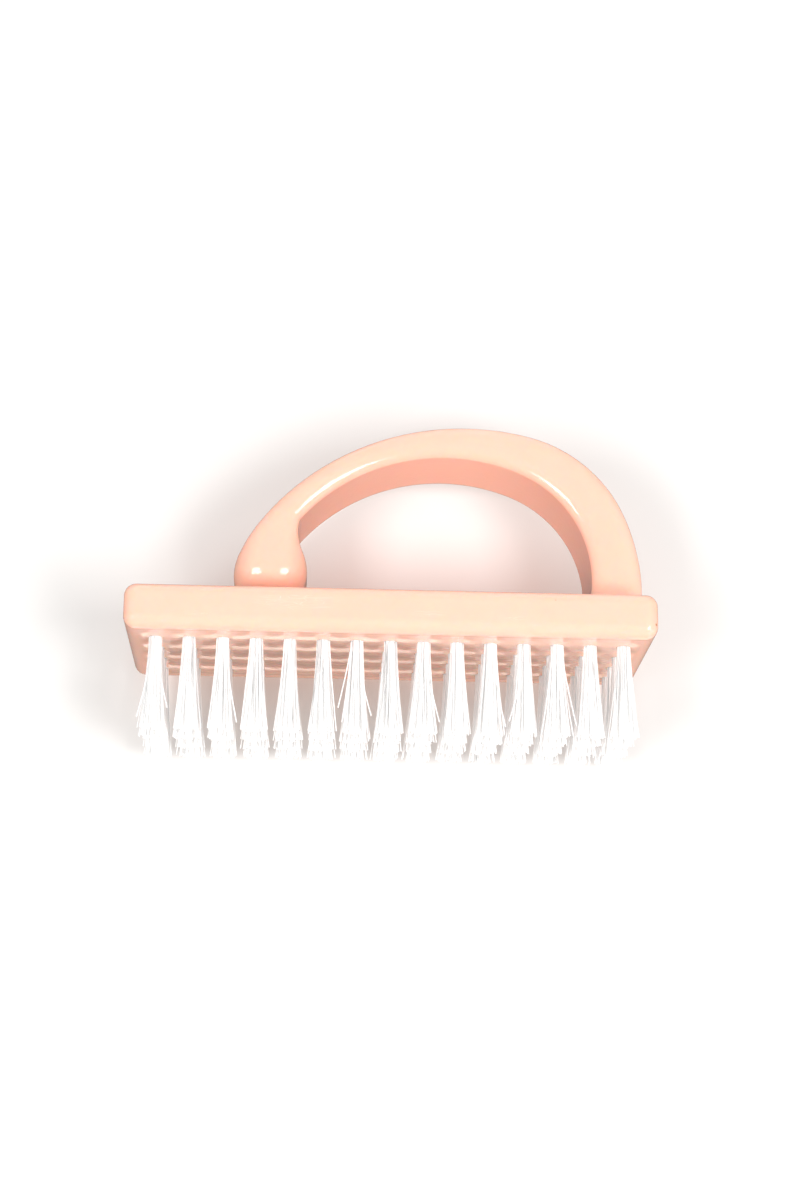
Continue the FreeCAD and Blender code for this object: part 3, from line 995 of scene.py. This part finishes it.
def net_surface(planes: Sequence[np.ndarray], values: np.ndarray) -> tuple[np.ndarray, np.ndarray]:
    """Wrap a net of four-sided faces round the space where the values are negative.

    Args:
        planes: The grid's planes along each axis.
        values: A value at each crossing of the planes.

    Returns:
        The net's points and its faces, which wind outwards.
    """
    inside = values < 0.0
    shape = tuple(size - 1 for size in values.shape)
    count = np.zeros(shape, dtype=np.int8)
    for corner in itertools.product((0, 1), repeat=3):
        count += inside[tuple(slice(step, step + size) for step, size in zip(corner, shape))]
    cells = (count > 0) & (count < 8)
    number = np.full(shape, -1, dtype=np.int64)
    total = int(cells.sum())
    number[cells] = np.arange(total)
    sums = np.zeros((total, 3))
    hits = np.zeros(total)
    faces = []
    for axis in range(3):
        second, third = (axis + 1) % 3, (axis + 2) % 3
        low = np.take(values, range(values.shape[axis] - 1), axis=axis)
        high = np.take(values, range(1, values.shape[axis]), axis=axis)
        at = np.argwhere((low < 0.0) != (high < 0.0))
        a = low[tuple(at.T)]
        b = high[tuple(at.T)]
        points = np.stack([planes[k][at[:, k]] for k in range(3)], axis=1)
        step = planes[axis][at[:, axis] + 1] - planes[axis][at[:, axis]]
        points[:, axis] += a / (a - b) * step
        ring = []
        for back_second, back_third in ((1, 1), (0, 1), (0, 0), (1, 0)):
            cell = at.copy()
            cell[:, second] -= back_second
            cell[:, third] -= back_third
            index = number[tuple(cell.T)]
            np.add.at(sums, index, points)
            np.add.at(hits, index, 1.0)
            ring.append(index)
        quads = np.stack(ring, axis=1)
        quads[a >= 0.0] = quads[a >= 0.0][:, ::-1]
        faces.append(quads)
    return sums / hits[:, None], np.concatenate(faces)


@dataclass
class BrushBody:
    """The one moulding: block, hook handle, pillowed underside and tuft holes.

    A fade is a pair of places between which a form comes in. Those of the relief are counted
    from the field's ends and sides and from the underside.
    """

    length: float = 90.0
    width: float = 36.0
    thickness: float = 7.7
    underside_z: float = 15.9
    edge_radius: float = 2.1
    handle_depth: float = 17.0
    handle_root: float = 4.0
    root_blend: float = 4.4
    root_fade: Pair = (18.0, 26.0)
    end_blend: float = 1.6
    end_fade: Pair = (40.5, 44.0)
    ridge_height: float = 0.2
    ridge_end_margin: float = 2.4
    ridge_end_fade: Pair = (0.2, -0.8)
    ridge_side_fade: Pair = (0.1, -0.9)
    relief_fade_z: Pair = (1.2, 0.3)
    scallop: float = 0.3
    scallop_sway: float = 1.0
    row_pitch: float = 7.2
    row_count: int = 4
    field_end_margin: float = 5.24
    hole_radius: float = 1.2
    hole_depth: float = 5.2
    hole_sides: int = 28
    hole_clearance: float = 1.0
    settle_steps: int = 4
    settle_limit: float = 0.3
    slope_floor: float = 0.25
    nudge: float = 0.01
    skin_limit: float = 0.8
    crease: float = 38.0
    grids: tuple[Grid, Grid, Grid] = (
        Grid(
            ((-46.0, 0.5), (-42.2, 0.35), (-28.5, 0.8), (-13.0, 0.42))
            + ((33.0, 0.62), (42.2, 0.45), (46.0, 0.35))
        ),
        Grid(
            ((-19.0, 0.5), (-15.4, 0.35), (-9.5, 0.6), (-3.5, 0.4))
            + ((3.5, 0.7), (9.5, 0.4), (15.4, 0.6), (19.0, 0.35))
        ),
        Grid(((14.9, 0.5), (18.4, 0.33), (21.2, 0.7), (31.0, 0.36), (57.0, 0.5))),
    )

    @property
    def top_z(self) -> float:
        """Height of the block's top."""
        return self.underside_z + self.thickness

    @property
    def column_pitch(self) -> float:
        """Distance between neighbouring columns of tufts."""
        return (self.length - 2.0 * self.field_end_margin) / (COLUMN_COUNT - 1)

    def column_x(self, column: int) -> float:
        """Where a column of tufts stands along the block."""
        return self.field_end_margin - self.length / 2.0 + column * self.column_pitch

    def row_y(self, row: int) -> float:
        """Where a row of tufts stands across the block."""
        return self.row_pitch * (row - (self.row_count - 1) / 2.0)

    def relief(self, x: np.ndarray, y: np.ndarray) -> np.ndarray:
        """Work out how far the underside bulges down.

        Args:
            x: Places along the block.
            y: Places across the block.

        Returns:
            The bulge under each place: a low ridge along each row, fuller round each tuft.
        """
        between = 0.5 - 0.5 * np.cos(FULL_TURN * (x - self.column_x(0)) / self.column_pitch)
        place = (y - self.scallop_sway * between - self.row_y(0)) / self.row_pitch
        across = np.abs((place + 0.5) % 1.0 - 0.5) * 2.0
        ridge = 0.5 + 0.5 * np.cos(math.pi * across)
        full = 1.0 - self.scallop * between * (1.0 - across)
        end = self.length / 2.0 - self.ridge_end_margin
        side = self.row_pitch * self.row_count / 2.0
        kept = smooth_step(self.ridge_end_fade, np.abs(x), end)
        kept = kept * smooth_step(self.ridge_side_fade, np.abs(y), side)
        return self.ridge_height * ridge * full * kept

    def block(self, x: np.ndarray, y: np.ndarray, z: np.ndarray) -> np.ndarray:
        """Measure points against the block with its rounded edges and pillowed underside."""
        half = self.thickness / 2.0
        centre_z = self.underside_z + half
        z = z + self.relief(x, y) * smooth_step(self.relief_fade_z, z, self.underside_z)
        qx = np.abs(x) - (self.length / 2.0 - self.edge_radius)
        qy = np.abs(y) - (self.width / 2.0 - self.edge_radius)
        qz = np.abs(z - centre_z) - (half - self.edge_radius)
        out = sum(np.maximum(part, 0.0) ** 2 for part in (qx, qy, qz))
        deepest = np.maximum(np.maximum(qx, qy), qz)
        return np.sqrt(out) + np.minimum(deepest, 0.0) - self.edge_radius

    def handle(
        self, outline: HookOutline, x: np.ndarray, y: np.ndarray, z: np.ndarray
    ) -> np.ndarray:
        """Measure points against the hook handle with its rounded rims."""
        away, rim, reach = outline.measure(x, z)
        u = np.where(away < 0.0, (away + reach) * rim / reach, away + rim)
        v = np.abs(y) - self.handle_depth / 2.0 + outline.sink(x, z) + rim
        out = np.hypot(np.maximum(u, 0.0), np.maximum(v, 0.0))
        return out + np.minimum(np.maximum(u, v), 0.0) - rim

    def measure(self, outline: HookOutline, points: np.ndarray) -> np.ndarray:
        """Measure points against the whole moulding.

        Args:
            outline: The handle's side view.
            points: The points, one in each row.

        Returns:
            Distances, negative on the inside.
        """
        x, y, z = points[..., 0], points[..., 1], points[..., 2]
        block = self.block(x, y, z)
        handle = self.handle(outline, x, y, z)
        reach = self.root_blend + (self.end_blend - self.root_blend) * smooth_step(self.end_fade, x)
        reach = reach * smooth_step(self.root_fade, x) + 1e-6
        close = np.maximum(reach - np.abs(block - handle), 0.0) / reach
        return np.minimum(block, handle) - close * close * reach / 4.0

    def slope(self, outline: HookOutline, points: np.ndarray) -> np.ndarray:
        """Work out which way the surface faces at points, from small steps along each axis."""
        slope = np.empty_like(points)
        for axis, step in enumerate(np.eye(3) * self.nudge):
            ahead = self.measure(outline, points + step)
            behind = self.measure(outline, points - step)
            slope[:, axis] = (ahead - behind) / (2.0 * self.nudge)
        return slope

    def settle(self, outline: HookOutline, points: np.ndarray) -> np.ndarray:
        """Draw the net's points onto the exact surface."""
        for _ in range(self.settle_steps):
            value = self.measure(outline, points)
            slope = self.slope(outline, points)
            size = np.maximum((slope**2).sum(axis=1), self.slope_floor)
            move = np.clip(value / size, -self.settle_limit, self.settle_limit)
            points = points - move[:, None] * slope
        return points

    def fair_normals(self, outline: HookOutline, mesh: bpy.types.Mesh) -> None:
        """Shade the skin with the form's own directions, so that reflections run evenly.

        Args:
            outline: The handle's side view.
            mesh: The moulding's mesh. Its hole walls keep the directions of their faces.
        """
        slope = self.slope(outline, read_all(mesh.vertices, "co", width=3) / MM)
        slope /= np.maximum(np.linalg.norm(slope, axis=1), 1e-9)[:, None]
        sizes = read_all(mesh.polygons, "loop_total", np.int32)
        flat = np.repeat(read_all(mesh.polygons, "normal", width=3), sizes, axis=0)
        curved = slope[read_all(mesh.loops, "vertex_index", np.int32)]
        skin = (flat * curved).sum(axis=1) > self.skin_limit
        mesh.normals_split_custom_set(np.where(skin[:, None], curved, flat).tolist())
        mesh.update()

    def plugs(self) -> bpy.types.Object:
        """Make the sixty round plugs that cut the tuft holes, as one object."""
        tubes = Tubes(self.hole_sides)
        heights = (self.underside_z - self.hole_clearance, self.underside_z + self.hole_depth)
        for column, row in itertools.product(range(COLUMN_COUNT), range(self.row_count)):
            x, y = self.column_x(column), self.row_y(row)
            tubes.add([(x, y, z) for z in heights], self.hole_radius)
        return add_object("tuft_hole_plugs", tubes.mesh("tuft_hole_plugs"))

    def build(self, finish: Material) -> None:
        """Model the moulding in its finish, and let it stand for its CAD node."""
        outline = HookOutline(base_z=self.top_z, foot_z=self.top_z - self.handle_root)
        planes = [grid.planes() for grid in self.grids]
        crossings = np.stack(np.meshgrid(*planes, indexing="ij"), axis=-1)
        points, faces = net_surface(planes, self.measure(outline, crossings))
        mesh = add_mesh("brush_moulding", self.settle(outline, points), faces.tolist())
        body = add_object("brush_moulding", mesh)
        plugs = self.plugs()
        cut = body.modifiers.new("TuftHoles", "BOOLEAN")
        cut.operation = "DIFFERENCE"
        cut.solver = "MANIFOLD"
        cut.object = plugs
        bake_modifiers(body)
        bpy.data.objects.remove(plugs)
        set_finish(body.data, finish)
        smooth_faces(body.data, self.crease)
        self.fair_normals(outline, body.data)
        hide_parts("brush_body")
        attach(body, ROOT_BODY)
        report(body)


# The bristles


@dataclass(frozen=True)
class LooseFilament:
    """A filament that has sprung out of a front tuft; its ends are (sideways, height)."""

    column: int
    start: Pair
    end: Pair
    steps: int = 8
    bow: float = 1.15
    forward: float = 0.9
    lean: float = 0.5

    def line(self, x: float, y: float) -> list[Point]:
        """Lay out its middle line from the bottom up, for a tuft at a place."""
        points = []
        for step in reversed(range(self.steps)):
            share = step / (self.steps - 1)
            aside = self.start[0] + (self.end[0] - self.start[0]) * share**self.bow
            height = self.start[1] + (self.end[1] - self.start[1]) * share
            points.append((x + aside, y - self.forward - self.lean * share, height))
        return points


@dataclass(frozen=True)
class BristleField:
    """Fifteen columns of four tufts, each tuft a flaring bundle of nylon filaments."""

    body: BrushBody
    filaments: int = 84
    root_radius: float = 1.05
    tip_spread: float = 1.32
    spread_range: Pair = (0.72, 1.18)
    flare_power: float = 1.45
    thickness: float = 0.225
    taper: Pair = (0.5, 0.45)
    wander: float = 0.22
    stray: float = 0.9
    stray_power: float = 14.0
    bow: float = 0.12
    shortest: float = 0.22
    turn_play: float = 0.3
    row_turn: float = 1.3
    fibre_length: float = 1.0
    fibre_points: int = 8
    fibre_sides: int = 5
    loose_sides: int = 6
    staple_height: float = 1.9
    crease: float = 60.0
    seed: int = 11
    column_seed: int = 31
    loose: tuple[LooseFilament, ...] = (
        LooseFilament(7, (-0.9, 15.0), (-3.0, 3.9)),
        LooseFilament(7, (-0.8, 14.6), (-2.3, 1.4)),
        LooseFilament(7, (1.0, 9.0), (2.6, 2.6)),
        LooseFilament(1, (1.0, 9.5), (2.5, 3.3)),
        LooseFilament(1, (-1.1, 9.0), (-2.6, 1.6)),
        LooseFilament(3, (1.1, 10.0), (2.8, 1.0)),
        LooseFilament(13, (1.0, 12.5), (3.1, 1.6)),
        LooseFilament(9, (1.1, 9.0), (2.7, 1.8)),
        LooseFilament(11, (1.0, 8.5), (2.5, 1.2)),
        LooseFilament(12, (-1.0, 8.0), (-2.6, 2.2)),
    )

    def values(self, column: int, finish: Material) -> dict[str, Any]:
        """List the tree's inputs for one column.

        Args:
            column: The column's number, from 0.
            finish: The nylon's material.

        Returns:
            The value of each input, by name.
        """
        body = self.body
        lengths = {
            "Row Pitch": body.row_pitch,
            "Column Place": body.column_x(column),
            "Root Radius": self.root_radius,
            "Tip Spread": self.tip_spread,
            "Thickness": self.thickness,
            "Wander": self.wander,
            "Stray": self.stray,
            "Bow": self.bow,
            "Fold Height": body.underside_z + body.hole_depth - self.staple_height,
            "Mouth Height": body.underside_z,
        }
        return {name: length * MM for name, length in lengths.items()} | {
            "Filaments": self.filaments,
            "Rows": body.row_count,
            "Flare Power": self.flare_power,
            "Seed": self.seed + self.column_seed * column,
            "Nylon": finish,
        }

    def grower(self, finish: Material) -> Group:
        """Build the group that grows one column of tufts.

        Args:
            finish: The nylon's material.

        Returns:
            The group, with the identifiers of its inputs.
        """
        inputs = {name: Socket.suited(value) for name, value in self.values(0, finish).items()}
        board = Group("grow_tufts", "GeometryNodeTree", inputs, {"Tufts": Socket.SHAPE})
        given = board.given
        index = board.add("GeometryNodeInputIndex").outputs[0]
        row = board.math("FLOOR", board.over(index, given["Filaments"]))
        place = board.minus(index, board.times(row, given["Filaments"]))

        def draw(salt: int, low: float = -1.0, high: float = 1.0) -> Output:
            """Draw a number for each filament."""
            seed = board.plus(given["Seed"], float(salt))
            feeds = {2: low, 3: high, "ID": index, "Seed": seed}
            return board.add("FunctionNodeRandomValue", feeds, data_type="FLOAT").outputs[1]

        ring = board.math("SQRT", board.over(board.plus(place, 0.5), given["Filaments"]))
        play = board.plus(draw(1, -self.turn_play, self.turn_play), board.times(row, self.row_turn))
        turn = board.plus(board.times(place, GOLDEN_ANGLE), play)
        outward = board.combine(board.math("COSINE", turn), board.math("SINE", turn))
        root = board.vector("SCALE", outward, board.times(ring, given["Root Radius"]))
        middle = board.over(board.minus(given["Rows"], 1.0), 2.0)
        row_y = board.times(board.minus(row, middle), given["Row Pitch"])
        tuft = board.combine(given["Column Place"], row_y, given["Fold Height"])
        foot = board.vector("ADD", root, tuft)

        push = board.times(ring, given["Tip Spread"], draw(2, *self.spread_range))
        wild = board.math("POWER", draw(3, 0.0), self.stray_power)
        lean = board.plus(given["Wander"], board.times(wild, given["Stray"]))
        drift = board.vector("SCALE", board.combine(draw(4), draw(5)), lean)
        tip = board.vector("ADD", board.vector("SCALE", outward, push), drift)
        bend = board.vector("SCALE", board.combine(draw(6), draw(7)), given["Bow"])
        short = draw(8, 0.0, self.shortest * MM)
        shade = draw(9, 0.0)

        total = board.times(given["Filaments"], given["Rows"])
        carried = board.add("GeometryNodePoints", {"Count": total, "Position": foot}).outputs[0]
        kept = []
        for kind, value in (("VECTOR", tip), ("VECTOR", bend), ("FLOAT", short), ("FLOAT", shade)):
            capture = board.add("GeometryNodeCaptureAttribute", domain="POINT")
            capture.capture_items.new(kind, "Kept")
            board.feed(capture, {0: carried, 1: value})
            carried = capture.outputs[0]
            kept.append(capture.outputs[1])
        tip, bend, short, shade = kept

        feeds = {"Start": (0.0, 0.0, 0.0), "End": (0.0, 0.0, -self.fibre_length * MM)}
        fibre = board.add("GeometryNodeCurvePrimitiveLine", feeds).outputs[0]
        feeds = {"Curve": fibre, "Count": self.fibre_points}
        fibre = board.add("GeometryNodeResampleCurve", feeds).outputs[0]
        feeds = {"Points": carried, "Instance": fibre}
        placed = board.add("GeometryNodeInstanceOnPoints", feeds).outputs[0]
        loose = board.add("GeometryNodeRealizeInstances", {0: placed}).outputs[0]

        share = board.add("GeometryNodeSplineParameter").outputs["Factor"]
        depth = board.minus(given["Fold Height"], short)
        held = board.over(board.minus(given["Fold Height"], given["Mouth Height"]), depth)
        free = board.over(board.minus(share, held), board.minus(1.0, held))
        free = board.largest(free, 0.0)
        flare = board.vector("SCALE", tip, board.math("POWER", free, given["Flare Power"]))
        arch = board.vector("SCALE", bend, board.math("SINE", board.times(free, math.pi)))
        down = board.minus(board.times(share, self.fibre_length * MM), board.times(share, depth))
        drop = board.combine(0.0, 0.0, down)
        offset = board.vector("ADD", board.vector("ADD", flare, arch), drop)
        feeds = {"Geometry": loose, "Offset": offset}
        shaped = board.add("GeometryNodeSetPosition", feeds).outputs[0]
        taper = board.times(given["Thickness"], board.remap(share, (0.0, 1.0), self.taper))
        feeds = {"Geometry": shaped, "Name": "filament_shade", "Value": shade}
        stored = board.add(
            "GeometryNodeStoreNamedAttribute", feeds, data_type="FLOAT", domain="POINT"
        ).outputs[0]
        feeds = {"Resolution": self.fibre_sides, "Radius": 1.0}
        profile = board.add("GeometryNodeCurvePrimitiveCircle", feeds).outputs[0]
        feeds = {"Curve": stored, "Profile Curve": profile, "Scale": taper, "Fill Caps": True}
        tube = board.add("GeometryNodeCurveToMesh", feeds).outputs[0]
        whole = board.add("GeometryNodeRealizeInstances", {0: tube}).outputs[0]
        feeds = {"Geometry": whole, "Material": given["Nylon"]}
        board.close({0: board.add("GeometryNodeSetMaterial", feeds).outputs[0]})
        return board

    def add_loose(self, piece: bpy.types.Object, column: int) -> None:
        """Add a column's named loose filaments to its mesh.

        Args:
            piece: The column's piece.
            column: The column's number, from 0.
        """
        tubes = Tubes(self.loose_sides)
        x, y = self.body.column_x(column), self.body.row_y(0)
        for one in self.loose:
            if one.column == column + 1:
                tubes.add(one.line(x, y), self.thickness / 2.0)
        if not tubes.points:
            return
        extra = tubes.mesh("loose_filaments")
        both = bmesh.new()
        both.from_mesh(piece.data)
        both.from_mesh(extra)
        both.to_mesh(piece.data)
        both.free()
        bpy.data.meshes.remove(extra)

    def build(self, finish: Material) -> None:
        """Grow every column in its finish, and let each stand for its CAD node."""
        grower = self.grower(finish)
        for column in range(COLUMN_COUNT):
            name = f"bristle_filaments_{column + 1:02d}"
            piece = add_object(name, bpy.data.meshes.new(name))
            grow = piece.modifiers.new("GrowTufts", "NODES")
            grow.node_group = grower.tree
            for key, value in self.values(column, finish).items():
                grow[grower.keys[key]] = value
            bake_modifiers(piece)
            self.add_loose(piece, column)
            smooth_faces(piece.data, self.crease)
            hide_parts(f"bristle_tufts_{column + 1:02d}")
            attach(piece, ROOT_BODY)
            report(piece)


@dataclass(frozen=True)
class StapleSet:
    """The anchor staples: their CAD solids stay, and get the wire's finish."""

    prefix: str = "anchor_staples_"

    def dress(self, nodes: dict[str, bpy.types.Object], finish: Material) -> None:
        """Give every staple node its material."""
        staples = [node for name, node in nodes.items() if name.startswith(self.prefix)]
        for node in staples:
            set_finish(node.data, finish)
        log.info("staple nodes dressed: %d", len(staples))


# The studio


@dataclass(frozen=True)
class Lamp:
    """A soft rectangular lamp, aimed at the brush."""

    name: str
    place: Point
    size: Pair
    power: float
    colour: Colour = (1.0, 1.0, 1.0)
    aim: Point = (0.0, 0.0, 26.0)

    def hang(self) -> None:
        """Put the lamp into the scene."""
        data = bpy.data.lights.new(self.name, "AREA")
        data.shape = "RECTANGLE"
        data.size, data.size_y = (side * MM for side in self.size)
        data.energy = self.power
        data.color = self.colour
        lamp = add_object(self.name, data)
        lamp.location = Vector(self.place) * MM
        lamp.rotation_mode = "QUATERNION"
        forward = Vector(self.aim) - Vector(self.place)
        lamp.rotation_quaternion = forward.to_track_quat("-Z", "Y")


@dataclass(frozen=True)
class Studio:
    """Pale floor and backdrop, soft lamps, and the camera at the photograph's angle."""

    camera_place: Point = (-13.4, -419.4, -92.0)
    camera_aim: Point = (1.95, 0.0, 26.36)
    camera_roll: float = 0.75
    focal: float = 74.67
    sensor: float = 36.0
    clip: Pair = (10.0, 20000.0)
    backdrop_gap: float = 0.2
    backdrop_span: float = 3000.0
    sky: float = 0.6
    gloss: Pair = (0.3, 0.2)
    gloss_fade: Pair = (-0.3, 0.3)
    lamps: tuple[Lamp, ...] = (
        Lamp("right_window", (310.0, -578.0, -172.0), (205.0, 285.0), 2.75),
        Lamp("left_window", (-325.0, -582.0, -175.0), (200.0, 280.0), 2.35),
        Lamp("right_softbox", (360.0, -100.0, -280.0), (200.0, 380.0), 0.45),
        Lamp("top_softbox", (60.0, -60.0, 640.0), (600.0, 500.0), 1.2),
        Lamp("table_bounce", (60.0, 420.0, -300.0), (600.0, 300.0), 1.15, (1.0, 0.88, 0.78)),
    )

    def sheet(self, name: str, corners: Sequence[Point]) -> None:
        """Make one flat stage sheet.

        Args:
            name: Its name.
            corners: Its corners, anticlockwise as seen from its visible side.
        """
        piece = add_object(name, add_mesh(name, corners, [(0, 1, 2, 3)]))
        piece.data.materials.append(PaleSheet(name).make())

    def set_stage(self, body: BrushBody) -> None:
        """Lay the floor under the tips and stand the backdrop behind the block."""
        span = self.backdrop_span
        back = body.width / 2.0 + self.backdrop_gap
        corners = [(-span, -span), (span, -span), (span, span), (-span, span)]
        self.sheet("pale_floor", [(x, y, 0.0) for x, y in corners])
        self.sheet("pale_backdrop", [(x, back, z) for x, z in corners])

    def light(self) -> None:
        """Hang the lamps and set the even light of the surroundings."""
        for lamp in self.lamps:
            lamp.hang()
        world = bpy.data.worlds.new("pale_room")
        bpy.context.scene.world = world
        world.use_nodes = True
        world.node_tree.nodes.clear()
        board = Board(world.node_tree)
        path = board.add("ShaderNodeLightPath").outputs
        seen = board.largest(path["Is Camera Ray"], path["Is Transmission Ray"])
        depth = board.split(board.add("ShaderNodeTexCoord").outputs["Generated"])["Y"]
        gloss = board.remap(depth, self.gloss_fade, self.gloss)
        plain = board.times(board.minus(1.0, path["Is Glossy Ray"]), self.sky)
        level = board.plus(plain, board.times(path["Is Glossy Ray"], gloss))
        even, white = (
            board.add("ShaderNodeBackground", {"Color": WHITE, "Strength": strength}).outputs[0]
            for strength in (level, 1.0)
        )
        mix = board.add("ShaderNodeMixShader", {0: seen, 1: even, 2: white}).outputs[0]
        board.add("ShaderNodeOutputWorld", {"Surface": mix})

    def place_camera(self) -> None:
        """Put the scene's camera where the photograph was taken from."""
        data = bpy.data.cameras.new("photo_camera")
        data.lens = self.focal
        data.sensor_width = self.sensor
        data.clip_start, data.clip_end = (distance * MM for distance in self.clip)
        camera = add_object("photo_camera", data)
        place = Vector(self.camera_place)
        forward = (Vector(self.camera_aim) - place).normalized()
        right = forward.cross(Vector((0.0, 0.0, 1.0))).normalized()
        up = right.cross(forward)
        roll = math.radians(self.camera_roll)
        turned_right = right * math.cos(roll) + up * math.sin(roll)
        turned_up = up * math.cos(roll) - right * math.sin(roll)
        turn = Matrix((turned_right, turned_up, -forward)).transposed()
        camera.matrix_world = Matrix.Translation(place * MM) @ turn.to_4x4()
        bpy.context.scene.camera = camera

    def set_view(self) -> None:
        """Show colours plainly."""
        bpy.context.scene.view_settings.view_transform = "Standard"


def main() -> None:
    """Build the brush and its studio."""
    logging.basicConfig(level=logging.INFO, format="%(name)s: %(message)s")
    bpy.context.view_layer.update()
    effects = Effects.build()
    body = BrushBody()
    body.build(PeachPlastic().make(effects))
    BristleField(body).build(NylonFilament().make(effects))
    StapleSet().dress(frame["nodes"], StapleWire().make(effects))
    studio = Studio()
    studio.set_stage(body)
    studio.light()
    studio.place_camera()
    studio.set_view()
    bpy.context.view_layer.update()


if __name__ == "__main__":
    main()
